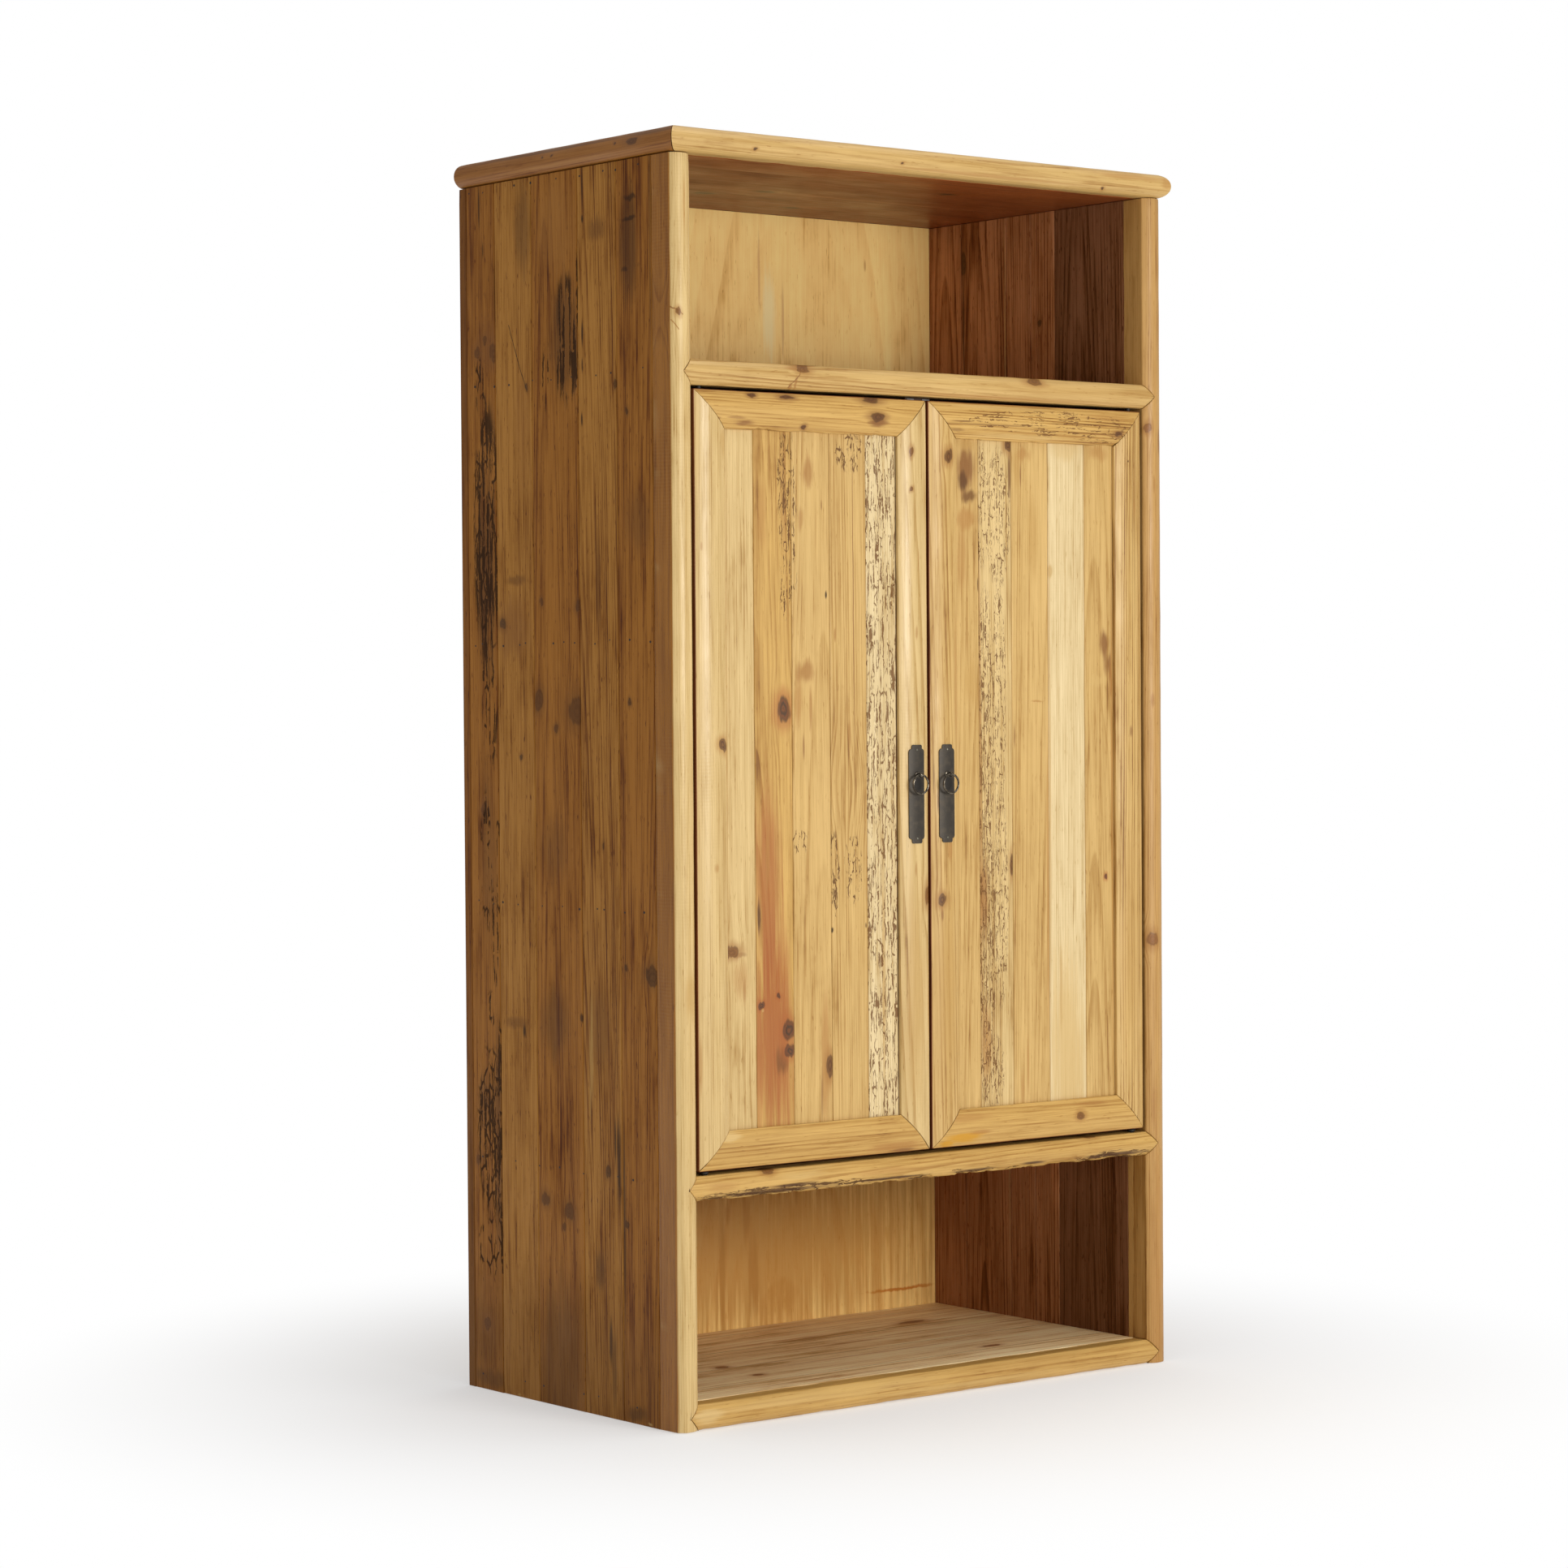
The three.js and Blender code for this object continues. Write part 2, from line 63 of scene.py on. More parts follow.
# %% [markdown]
# ## The camera
# The cabinet is seen from its front left, from a little above half its height, and
# from far enough away that its uprights stay upright. A long lens does that. The
# camera is turned by three plain angles: round to the object, down to its middle,
# and a trace of roll.
# %% Camera
CAMERA_PLACE = (-4.1914, -5.1760, 1.1346)
CAMERA_LENS = 92.07
camera_data = bpy.data.cameras.new("camera")
camera_data.sensor_width = 36
camera_data.lens = CAMERA_LENS
camera = bpy.data.objects.new("camera", camera_data)
scene.collection.objects.link(camera)
yaw, pitch, roll = 0.67129, -0.02273, -0.00682
turn = Matrix.Rotation(-yaw, 4, "Z") @ Matrix.Rotation(math.pi / 2 + pitch, 4, "X")
stand = Matrix.Translation(CAMERA_PLACE)
camera.matrix_world = stand @ turn @ Matrix.Rotation(roll, 4, "Z")
scene.camera = camera
print("camera stands at", tuple(round(value, 3) for value in camera.location))

# %% [markdown]
# ## Wires and a bench for shader maths
# A finish is a tree of nodes. Written node by node it is long and hard to read, so a
# Wire stands for one value and lays a Math node whenever it is added or multiplied,
# and a Bench lays any other node. Then a grain pattern reads like a sum on paper.
# %% Wire
class Wire:
    """One value on a bench; sums on it lay Math nodes."""

    def __init__(self, bench, socket):
        self.bench = bench
        self.socket = socket

    def beside(self, output):
        """Another output of the same node."""
        return Wire(self.bench, self.socket.node.outputs[output])

    def math(self, operation, *others):
        values = dict(enumerate((self, *others)))
        return self.bench.lay("Math", {"operation": operation}, values)

    def __add__(self, other):
        return self.math("ADD", other)

    def __sub__(self, other):
        return self.math("SUBTRACT", other)

    def __mul__(self, other):
        return self.math("MULTIPLY", other)

    def __truediv__(self, other):
        return self.math("DIVIDE", other)

    def __rsub__(self, other):
        values = {0: other, 1: self}
        return self.bench.lay("Math", {"operation": "SUBTRACT"}, values)

    __radd__ = __add__
    __rmul__ = __mul__


# %% Bench
class Bench:
    """The node tree of one finish."""

    def __init__(self, tree):
        self.tree = tree
        tree.nodes.clear()

    def lay(self, kind, settings=None, sockets=None, output=0):
        """Lays one node, sets it up, and feeds its sockets values or wires."""
        node = self.tree.nodes.new("ShaderNode" + kind)
        for key, value in (settings or {}).items():
            if key == "stops":
                self.set_stops(node.color_ramp, value)
            else:
                setattr(node, key, value)
        for key, value in (sockets or {}).items():
            if isinstance(value, Wire):
                self.tree.links.new(value.socket, node.inputs[key])
            else:
                node.inputs[key].default_value = value
        return Wire(self, node.outputs[output]) if node.outputs else None

    def set_stops(self, ramp, stops):
        for index, (position, colour) in enumerate(stops):
            fresh = index >= len(ramp.elements)
            element = ramp.elements.new(position) if fresh else ramp.elements[index]
            element.position = position
            element.color = colour

    def rise(self, value, start, end, low=0.0, high=1.0):
        """A soft step from low at start to high at end; start may be the larger."""
        settings = {"interpolation_type": "SMOOTHSTEP"}
        return self.lay("MapRange", settings, {0: value, 1: start, 2: end, 3: low, 4: high})

    def mix(self, factor, first, second, blend="MIX"):
        """Blends two colours."""
        settings = {"data_type": "RGBA", "blend_type": blend}
        return self.lay("Mix", settings, {0: factor, 6: first, 7: second}, 2)

    def vector(self, operation, *values):
        return self.lay("VectorMath", {"operation": operation}, dict(enumerate(values)))

    def cloud(self, place, scales, detail=2.0, roughness=0.5, output=0):
        """Soft noise around 0.5, with its own number of bumps a metre each way."""
        stretched = self.vector("MULTIPLY", place, scales)
        values = {"Vector": stretched, "Scale": 1.0, "Detail": detail, "Roughness": roughness}
        return self.lay("TexNoise", {}, values, output)

    def wander(self, value):
        """Noise along one number, used to make rows of lines uneven."""
        settings = {"noise_dimensions": "1D"}
        return self.lay("TexNoise", settings, {"W": value, "Scale": 1.0, "Detail": 1.0})


print("bench ready")

# %% [markdown]
# ## Paint tones
# Tones are written as the six-figure codes used on screens. Shaders add light in
# linear numbers, so each code is turned into those once, here. A pine board has one
# middle tone: its early wood is a little lighter, and its late wood and old dirt are
# darker and redder, because resin and age take out blue first.
# %% Tones
def tone(code):
    """A linear colour from a screen code such as #d9b67b."""
    parts = [int(code[i : i + 2], 16) / 255 for i in (1, 3, 5)]
    linear = [((part + 0.055) / 1.055) ** 2.4 for part in parts]
    return (*linear, 1.0)


def shifted(colour, *factors):
    return (*[min(1.0, part * factor) for part, factor in zip(colour, factors)], 1.0)


SHADE_STEPS = (
    (0.0, (1.16, 1.2, 1.3)),
    (0.36, (1.0, 1.0, 1.0)),
    (0.68, (0.78, 0.69, 0.54)),
    (1.0, (0.50, 0.38, 0.26)),
)


def shades(code, depth=1.0):
    """Four stops of one wood, from its palest early wood to its darkest streak."""
    stops = []
    for position, factors in SHADE_STEPS:
        deeper = [factor**depth for factor in factors]
        stops.append((position, shifted(tone(code), *deeper)))
    return stops


# %% [markdown]
# A workshop mixes a few stains and uses them on everything, so the whole cabinet is
# painted from one box. The first group are woods and stains for whole boards, and the
# second are marks, from soot black to cream. A board then only names its tones, and
# changing one tone here changes it everywhere.
# %% Paint box
CREAM_PINE = "#d0b888"
STRAW_PINE = "#c6a870"
HONEY_PINE = "#c09c5e"
AMBER_PINE = "#bc9450"
TOAST_PINE = "#b2884c"
BROWN_STAIN = "#8c581c"
LIGHT_STAIN = "#986628"
DEEP_STAIN = "#784814"
RED_STAIN = "#b67c50"
SHADED_STAIN = "#825638"
# Pale wood for the bay floor, made paler still as painted light for the shaded bay.
PALE_AND_LIT_WOOD = "#f6d6a2"
SHELF_BROWN = "#a07242"
TOP_BROWN = "#8e4a1e"
# Pale plywood, made paler still as painted light for the back of the shaded bays.
VENEER = "#f6cc7e"

SOOT = "#2c1806"
INK = "#34291c"
BARK = "#4c2c10"
UMBER = "#6a421a"
RUSSET = "#7e5026"
TAN = "#98662e"
GINGER = "#a67438"
WAX = "#b48c4c"
STRAW = "#c8a668"
CREAM = "#d8bc84"
RESIN = "#c48c18"
CLAY = "#b87c50"
BONE = "#f4e0a4"
ORANGE = "#c46c1c"
OCHRE = "#b4782a"
HEARTWOOD = "#9c5626"
# Dark paint for door edges that face their gaps: painted shade of the gaps.
GAP_SHADE_BROWN = "#6a3414"
KNOT_BROWN = "#4a3128"
KNOT_RED = "#a5602f"
TUNNEL_BROWN = "#5a3518"
GLUE_BROWN = "#24140a"
# Tone of the painted shade along the foot of the left side.
FOOT_SHADE_BROWN = "#66400a"

print("a pine tone:", tuple(round(part, 3) for part in tone("#d9b67b")))

# %% [markdown]
# ## The studio
# The cabinet stands on a plain pale floor in an even white room. A large soft lamp to
# the front right lights the front and leaves the left side in shade, and a smaller
# one at the left gives the waxed round edges their thin highlights. A low warm lamp
# reaches into the bottom bay, and a broad one overhead lights the top. The room itself
# looks white, but lights the wood less than it looks, so shade stays shade.
# %% Room and lamps
ROOM_LOOK = 1.0
ROOM_LIGHT = 0.46
room = bpy.data.worlds.new("white_room")
room.use_nodes = True
scene.world = room
bench = Bench(room.node_tree)
seen = bench.lay("LightPath", {}, {}, "Is Camera Ray")
strength = seen * (ROOM_LOOK - ROOM_LIGHT) + ROOM_LIGHT
glow = bench.lay("Background", {}, {"Color": (1.0, 1.0, 1.0, 1.0), "Strength": strength})
bench.lay("OutputWorld", {}, {"Surface": glow})
scene.view_settings.view_transform = "Standard"


def soft_lamp(name, place, aim, width, height, power):
    data = bpy.data.lights.new(name, "AREA")
    data.shape = "RECTANGLE"
    data.size = width
    data.size_y = height
    data.energy = power
    lamp = bpy.data.objects.new(name, data)
    lamp.location = place
    lamp.rotation_euler = (Vector(aim) - Vector(place)).to_track_quat("-Z", "Y").to_euler()
    scene.collection.objects.link(lamp)
    return lamp


soft_lamp("key_lamp", (0.7, -4.7, 1.55), (0.0, 0.0, 1.0), 1.5, 1.3, 84)
soft_lamp("edge_lamp", (-2.6, -4.4, 1.9), (0.0, 0.0, 1.1), 0.5, 1.4, 10)
low_lamp = soft_lamp("low_lamp", (-0.3, -3.0, 1.1), (0.1, 0.0, 0.15), 1.6, 0.5, 12)
low_lamp.data.color = (1.0, 0.88, 0.68)
soft_lamp("top_lamp", (0.2, -0.6, 4.4), (0.0, 0.0, 0.0), 3.0, 3.0, 50)

# %% [markdown]
# ## The floor
# A studio floor is a broad sheet of pale paper or board. A wide low disc does
# the same. Close to the cabinet it takes its soft shadow; further off it glows as
# white as the room, so no horizon shows.
# %% Floor
floor_mesh = bmesh.new()
FLOOR_RADIUS = 9.0
FLOOR_DROP = 0.4
GLOW_START, GLOW_FULL = 0.4, 1.5
bmesh.ops.create_circle(floor_mesh, cap_ends=True, segments=96, radius=FLOOR_RADIUS)
floor_data = bpy.data.meshes.new("studio_floor")
floor_mesh.to_mesh(floor_data)
floor_mesh.free()
floor = bpy.data.objects.new("studio_floor", floor_data)
floor.location.z = -FLOOR_DROP * MM
scene.collection.objects.link(floor)
floor_finish = bpy.data.materials.new("pale_paper")
floor_finish.use_nodes = True
bench = Bench(floor_finish.node_tree)
place = bench.lay("TexCoord", {}, {}, "Object")
mottle = bench.cloud(place, (1.2, 1.2, 1.2), 3.0)
paper = bench.mix(mottle, tone("#f8f7f5"), tone("#fcfbfa"))
fibre = bench.cloud(place, (160.0, 160.0, 160.0), 2.0)
relief = bench.lay("Bump", {}, {"Strength": 0.15, "Distance": 0.2 * MM, "Height": fibre})
sheet = {"Base Color": paper, "Roughness": 0.85 + 0.1 * mottle, "Normal": relief}
near = bench.lay("BsdfPrincipled", {}, sheet)
far = bench.lay("Emission", {}, {"Color": (1.0, 1.0, 1.0, 1.0), "Strength": 1.0})
distance = bench.lay("VectorMath", {"operation": "LENGTH"}, {0: place}, "Value")
fade = bench.rise(distance, GLOW_START, GLOW_FULL, 0.35, 1.0)
bench.lay("OutputMaterial", {}, {0: bench.lay("MixShader", {}, {0: fade, 1: near, 2: far})})
floor_data.materials.append(floor_finish)
print("floor radius", FLOOR_RADIUS, "m")

# %% [markdown]
# ## Worked boards
# The frame's solids have dead sharp edges, and no old board has those. Each board is
# copied, its arrises are rounded over, it is sliced across its length, and the slices
# let its edges wander inwards by a fraction of a millimetre, as years of hands and
# scrapers do. All wear goes inwards, so a board never grows out of its own solid.
# %% Shaping helpers
def slice_up(mesh, axis, stations):
    """Cuts every face of the mesh at each station along one axis."""
    direction = Vector([float(axis == index) for index in range(3)])
    for station in stations:
        geometry = mesh.verts[:] + mesh.edges[:] + mesh.faces[:]
        bmesh.ops.bisect_plane(
            mesh,
            geom=geometry,
            dist=0.01 * MM,
            plane_co=direction * station,
            plane_no=direction,
        )


def bend_at(vertex):
    """How sharply the surface turns at a vertex."""
    angles = [edge.calc_face_angle(0.0) for edge in vertex.link_edges]
    return max(angles, default=0.0)


def wear_down(mesh, wear, wave, origin):
    """Moves arrises inwards unevenly, and lets rounded faces wander a little."""
    moves = []
    for vertex in mesh.verts:
        broad = noise.noise(vertex.co * 22 + origin)
        fine = noise.noise(vertex.co * 95 + origin)
        depth = wave * (0.5 + broad)
        if bend_at(vertex) > 0.25:
            depth += wear * max(0.0, 0.3 + broad + 0.8 * fine)
        moves.append((vertex, vertex.normal * -max(0.0, depth) * MM))
    for vertex, move in moves:
        vertex.co += move


# %% Ragged edges
EDGE_FACE = 22
EDGE_REACH = 7


def break_edge(mesh, axis, side, depth, origin, limits):
    """Eats into one long edge of a rail, as worm and knocks have done."""
    lowest, highest = limits
    edge = lowest[axis] if side < 0 else highest[axis]
    front = lowest[1] + EDGE_FACE * MM
    for vertex in mesh.verts:
        near = 1.0 - abs(vertex.co[axis] - edge) / (EDGE_REACH * MM)
        if near <= 0 or vertex.co.y > front:
            continue
        broad = noise.noise(vertex.co * 24 + origin)
        fine = noise.noise(vertex.co * 120 + origin)
        bite = min(1.0, max(0.0, (broad + 0.35 * fine + 0.02) * 5))
        bite *= 0.7 + 0.6 * fine
        vertex.co[axis] -= side * min(1.0, near * 1.6) * max(0.0, bite) * depth * MM


# %% Board maker
WELD = 0.02
FLAT_TURN = math.radians(0.8)
SHARP_TURN = math.radians(38)


def worked(node, finish, along, step=24, ease=1.2, wear=0.5, wave=0.0, broken=None):
    """A worn copy of one solid board, which stands for it."""
    mesh = bmesh.new()
    mesh.from_mesh(frame["nodes"][node].data)
    bmesh.ops.remove_doubles(mesh, verts=mesh.verts, dist=WELD * MM)
    bmesh.ops.dissolve_limit(
        mesh, angle_limit=FLAT_TURN, verts=mesh.verts, edges=mesh.edges
    )
    sharp = [edge for edge in mesh.edges if edge.calc_face_angle(0.0) > SHARP_TURN]
    bmesh.ops.bevel(
        mesh, geom=sharp, offset=ease * MM, segments=2, profile=0.6, affect="EDGES"
    )
    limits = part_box(node)
    axis = "xyz".index(along)
    start, end = limits[0][axis], limits[1][axis]
    count = max(1, round((end - start) / (step * MM)))
    slice_up(mesh, axis, [start + (end - start) * i / count for i in range(1, count)])
    mesh.normal_update()
    origin = Vector([random.Random(node + letter).uniform(0, 40) for letter in "xyz"])
    wear_down(mesh, wear, wave, origin)
    if broken:
        break_edge(mesh, *broken, origin, limits)
    for vertex in mesh.verts:
        for index in range(3):
            inside = max(limits[0][index], vertex.co[index])
            vertex.co[index] = min(limits[1][index], inside)
    return finished(mesh, node, finish)


def finished(mesh, node, finish):
    """Turns a worked mesh into a shaded piece that rides with its solid's body."""
    data = bpy.data.meshes.new(node + "_worked")
    mesh.to_mesh(data)
    mesh.free()
    data.materials.clear()
    data.materials.append(finish)
    data.polygons.foreach_set("use_smooth", [True] * len(data.polygons))
    data.polygons.foreach_set("material_index", [0] * len(data.polygons))
    piece = bpy.data.objects.new(node + "_worked", data)
    scene.collection.objects.link(piece)
    even = piece.modifiers.new("even_shading", "WEIGHTED_NORMAL")
    even.weight = 60
    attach(piece, BODY_OF[node])
    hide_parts(node)
    return piece


print("board maker ready")

# %% [markdown]
# ## Old waxed pine
# Pine has wide pale early wood and thin dark late wood. A board is a flat cut through
# those nested rings, so its figure is the distance from the tree's pith: straight
# lines where the pith is off to one side, tall arches where it runs just behind the
# face and leans. Making the rings in three dimensions lets the figure wrap round the
# rounded fronts, which no flat drawing could do.
# %% Board frame
def board_axes(bench, along, across):
    """The board's own three directions, and a place made of them."""
    first = bench.lay("SeparateXYZ", {}, {0: bench.lay("TexCoord", {}, {}, "Object")}, "X")
    axes = {"x": first, "y": first.beside("Y"), "z": first.beside("Z")}
    through = next(axis for axis in "xyz" if axis not in (along, across))
    values = {0: axes[across], 1: axes[along], 2: axes[through]}
    place = bench.lay("CombineXYZ", {}, values)
    return axes[across], axes[along], axes[through], place


def reach(bench, place, centre, radii):
    """Distance from a spot, in its own radii, across and along the board."""
    wide, long = radii[0] * MM, radii[1] * MM
    scale = (1 / wide, 1 / long, 0.0)
    shift = (-centre[0] * MM / wide, -centre[1] * MM / long, 0.0)
    values = {0: place, 1: scale, 2: shift}
    local = bench.lay("VectorMath", {"operation": "MULTIPLY_ADD"}, values)
    return bench.lay("VectorMath", {"operation": "LENGTH"}, {0: local}, "Value")


# %% [markdown]
# A branch makes a knot, and the trunk's grain parts round it like water round a
# stone. Near each knot the distance across the board is drawn out from the knot's
# middle line, so every growth ring bends round it. The nearest knot's distance is
# kept as well: it later paints the knot's core, its dark rim and its halo of resin.
# %% Knots
def part_round_knots(bench, place, ragged, across, knots, swirls):
    nearest = None
    for centre_across, centre_along, wide, long in knots:
        centre = (centre_across, centre_along)
        own = reach(bench, ragged, centre, (wide, long))
        nearest = own if nearest is None else nearest.math("MINIMUM", own)
    for centre_across, centre_along, wide, long in (*knots, *swirls):
        centre = (centre_across, centre_along)
        wide_reach = reach(bench, place, centre, (2.8 * wide, 5.5 * max(wide, long)))
        pull = bench.rise(wide_reach, 1.0, 0.0, 0.0, 0.8)
        across = across - (across - centre_across * MM) * pull
    return nearest, across


# %% [markdown]
# Ring widths vary from year to year, and so does the darkness of the late wood, so
# the ring count is nudged by a slow noise along the radius. The late wood comes on
# gently and ends sharply, as it does when winter stops the tree.
# %% Growth rings
def growth_rings(bench, across, along, through, place, pith, lean, ring, sway):
    drift = bench.cloud(place, (7.0, 1.3, 7.0), 2.0) - 0.5
    ruffle = bench.cloud(place, (70.0, 5.0, 70.0), 1.0) - 0.5
    bent = drift * (sway * MM) + ruffle * (0.9 * MM)
    side = across - along * (lean[0] * MM) + (bent - pith[0] * MM)
    depth = through - along * (lean[1] * MM) - pith[1] * MM
    radius = (side * side + depth * depth).math("SQRT")
    count = radius / (ring * MM)
    count = count + bench.wander(count * 0.21) * 2.6
    year = count.math("FRACT")
    late = bench.rise(year, 0.25, 0.9) * bench.rise(year, 1.0, 0.94)
    bold = bench.rise(bench.wander(count * 0.37 + 31.7), 0.32, 0.7, 0.25, 1.0)
    return late * bold


# %% [markdown]
# Bark beetle and woodworm leave two marks on these boards: short dark runs with the
# grain, where tunnels were planed open, and a crooked net of galleries. Cell noise
# drawn out along the grain gives both, the first from cell middles and the second
# from cell edges, and each is kept to the parts of the board that were attacked.
# %% Worm tracks
GALLERY_CELL = (6.5, 19)


def worm_tracks(bench, place, tracks, coarse):
    """Depth of the open tunnels, from 0 to 1."""
    shake = bench.cloud(place, (130.0, 75.0, 0.0), 3.0, 0.6, "Color")
    crooked = bench.vector("MULTIPLY_ADD", shake, (7 * MM, 9 * MM, 0.0), place)
    pattern = bench.vector("MULTIPLY", crooked, (1 / coarse, 1 / coarse, 1.0))
    total = None
    for centre_across, centre_along, wide, long, runs, net in tracks:
        centre = (centre_across, centre_along)
        zone = bench.rise(reach(bench, crooked, centre, (wide, long)), 1.05, 0.8)
        etched = None
        if runs:
            etched = open_runs(bench, pattern, runs)
        if net:
            holes = gallery_net(bench, pattern, net)
            etched = holes if etched is None else etched.math("MAXIMUM", holes)
        etched = etched * zone
        total = etched if total is None else total.math("MAXIMUM", etched)
    return total


def open_runs(bench, crooked, amount):
    """Tunnels that follow the grain, planed open in thin broken lines."""
    strands = bench.cloud(crooked, (310.0, 15.0, 0.0), 2.0, 0.55)
    breaks = bench.cloud(crooked, (120.0, 75.0, 0.0), 2.0, 0.6)
    limit = 0.655 - 0.1 * amount
    thin = bench.rise(strands, limit, limit + 0.035)
    cut = bench.rise(breaks, 0.56 - 0.14 * amount, 0.6 - 0.14 * amount)
    return thin * cut


def gallery_net(bench, crooked, amount):
    """A crooked net of galleries, kept to its blacker parts."""
    settings = {"voronoi_dimensions": "2D", "feature": "DISTANCE_TO_EDGE"}
    wide, long = (1 / (size * MM) for size in GALLERY_CELL)
    cells = bench.vector("MULTIPLY", crooked, (wide, long, 0.0))
    values = {"Vector": cells, "Scale": 1.0, "Randomness": 1.0}
    near = bench.lay("TexVoronoi", settings, values, "Distance")
    gate = bench.cloud(crooked, (95.0, 40.0, 0.0), 2.0)
    limit = 0.64 - 0.24 * amount
    return bench.rise(near, 0.12, 0.05) * bench.rise(gate, limit, limit + 0.06)


print("grain, knots and tracks ready")

# %% [markdown]
# The finish itself adds these up. One number, the level, runs from pale to dark and
# gathers rings, long streaks, fibres and cloudy patches, and a ramp of four stops
# turns it into colour, so all tones of a board stay in one family. Knots, stains and
# tunnels are laid over it. The same numbers drive the relief and the dullness: late
# wood stands a little proud, tunnels go deep, and wax is duller in both.
# %% Level of tone
def tone_level(bench, place, late, options):
    """How dark the bare wood is, before knots and stains, and the noises behind it."""
    broad = bench.cloud(place, (26.0, 0.9, 26.0), 3.0) - 0.5
    fibre = bench.cloud(place, (520.0, 9.0, 520.0), 2.0, 0.7) - 0.5
    streaky = bench.cloud(place, (120.0, 3.4, 120.0), 4.0, 0.65) - 0.5
    patch = bench.cloud(place, (11.0, 5.0, 11.0), 4.0, 0.65) - 0.5
    speck = bench.cloud(place, (460.0, 55.0, 460.0), 1.0)
    level = late * (0.5 * options["figure"]) + (0.24 + options["shade"])
    level = level + broad * (1.3 * options["streak"]) + fibre * (1.5 * options["fibre"])
    level = level + streaky * (1.7 * options["streak"]) + patch * (1.2 * options["mottle"])
    level = level + bench.rise(speck, 0.66, 0.78) * (0.3 * options["fleck"])
    grime = bench.rise(patch + streaky * 0.9, 0.1, 0.34)
    return level + grime * (0.45 * options["grime"]), fibre, patch, streaky


# %% Knots and stains
def lay_knots(bench, colour, nearest, streaky, core_tone, halo_tone, bold):
    frayed = nearest + streaky * 1.1
    halo = bench.rise(frayed, 2.7, 0.8) * (0.66 * bold)
    colour = bench.mix(halo, colour, halo_tone)
    rings = (nearest * 11.0 + streaky * 6.0).math("SINE") * 0.16 + 0.22
    heart = bench.mix(rings, core_tone, halo_tone)
    core = bench.rise(frayed, 1.18, 0.7)
    colour = bench.mix(core * bold, colour, heart)
    rim = bench.rise((frayed - 0.95).math("ABSOLUTE"), 0.28, 0.02) * (0.42 * bold)
    return bench.mix(rim, colour, shifted(core_tone, 0.5, 0.45, 0.45)), core


SLIM = 6


def lay_stains(bench, colour, ragged, neat, streaky, stains):
    """Soft or streaky patches: middle, half sizes, tone and strength of each."""
    for centre_across, centre_along, wide, long, code, amount in stains:
        slim = min(wide, long) < SLIM
        near = reach(bench, neat if slim else ragged, (centre_across, centre_along), (wide, long))
        mask = bench.rise(near + streaky * (1.2 if slim else 1.8), 1.15, 0.35)
        colour = bench.mix(mask * amount, colour, tone(code))
    return colour


def lay_scratches(bench, colour, place, scratches):
    """Fine dark cuts, each from one point to another, across and along the board."""
    for start, end, width, code in scratches:
        first, last = (Vector((*point, 0.0)) * MM for point in (start, end))
        run = last - first
        heading = run.normalized()
        flat = bench.vector("MULTIPLY", place, (1.0, 1.0, 0.0))
        away = bench.vector("SUBTRACT", flat, first)
        dot = {"operation": "DOT_PRODUCT"}
        travelled = bench.lay("VectorMath", dot, {0: away, 1: heading}, "Value")
        travelled = travelled.math("MAXIMUM", 0.0).math("MINIMUM", run.length)
        nearest = bench.lay("VectorMath", {"operation": "SCALE"}, {0: heading, "Scale": travelled})
        gap = bench.lay("VectorMath", {"operation": "DISTANCE"}, {0: away, 1: nearest}, "Value")
        cut = bench.rise(gap, width * MM, 0.3 * width * MM)
        colour = bench.mix(cut * 0.85, colour, tone(code))
    return colour


# %% Planks in a panel
def split_planks(bench, wide, width):
    """Counts planks across a panel: a jump in the figure, a tone and a joint for each."""
    plank = wide / (width * MM) + 40.3
    number = plank.math("FLOOR")
    edge = plank.math("FRACT")
    gap = 0.9 / width
    joint = bench.rise(edge, gap, gap * 0.3) + bench.rise(edge, 1 - gap, 1 - gap * 0.3)
    luck = bench.lay("TexWhiteNoise", {"noise_dimensions": "1D"}, {"W": number})
    shift = bench.lay("CombineXYZ", {}, {0: 0.0, 1: luck * 37.0, 2: number * 3.1})
    return shift, (luck, joint)


# %% The finish
PLAIN_BOARD = {
    "face": -1,
    "pith": (70, 30),
    "lean": (4, 6),
    "ring": 3.4,
    "sway": 10,
    "figure": 1.0,
    "depth": 1.2,
    "bold": 0.94,
    "plank": None,
    "scratches": (),
    "streak": 0.5,
    "fibre": 0.75,
    "mottle": 0.4,
    "shade": 0.0,
    "ripple": 0.0,
    "sheen": 0.4,
    "shine": 0.32,
    "knots": (),
    "swirls": (),
    "flanks": (),
    "fleck": 1.0,
    "grime": 0.5,
    "stains": (),
    "tracks": (),
    "core": KNOT_BROWN,
    "halo": KNOT_RED,
    "tunnel": TUNNEL_BROWN,
    "coarse": 1.0,
}


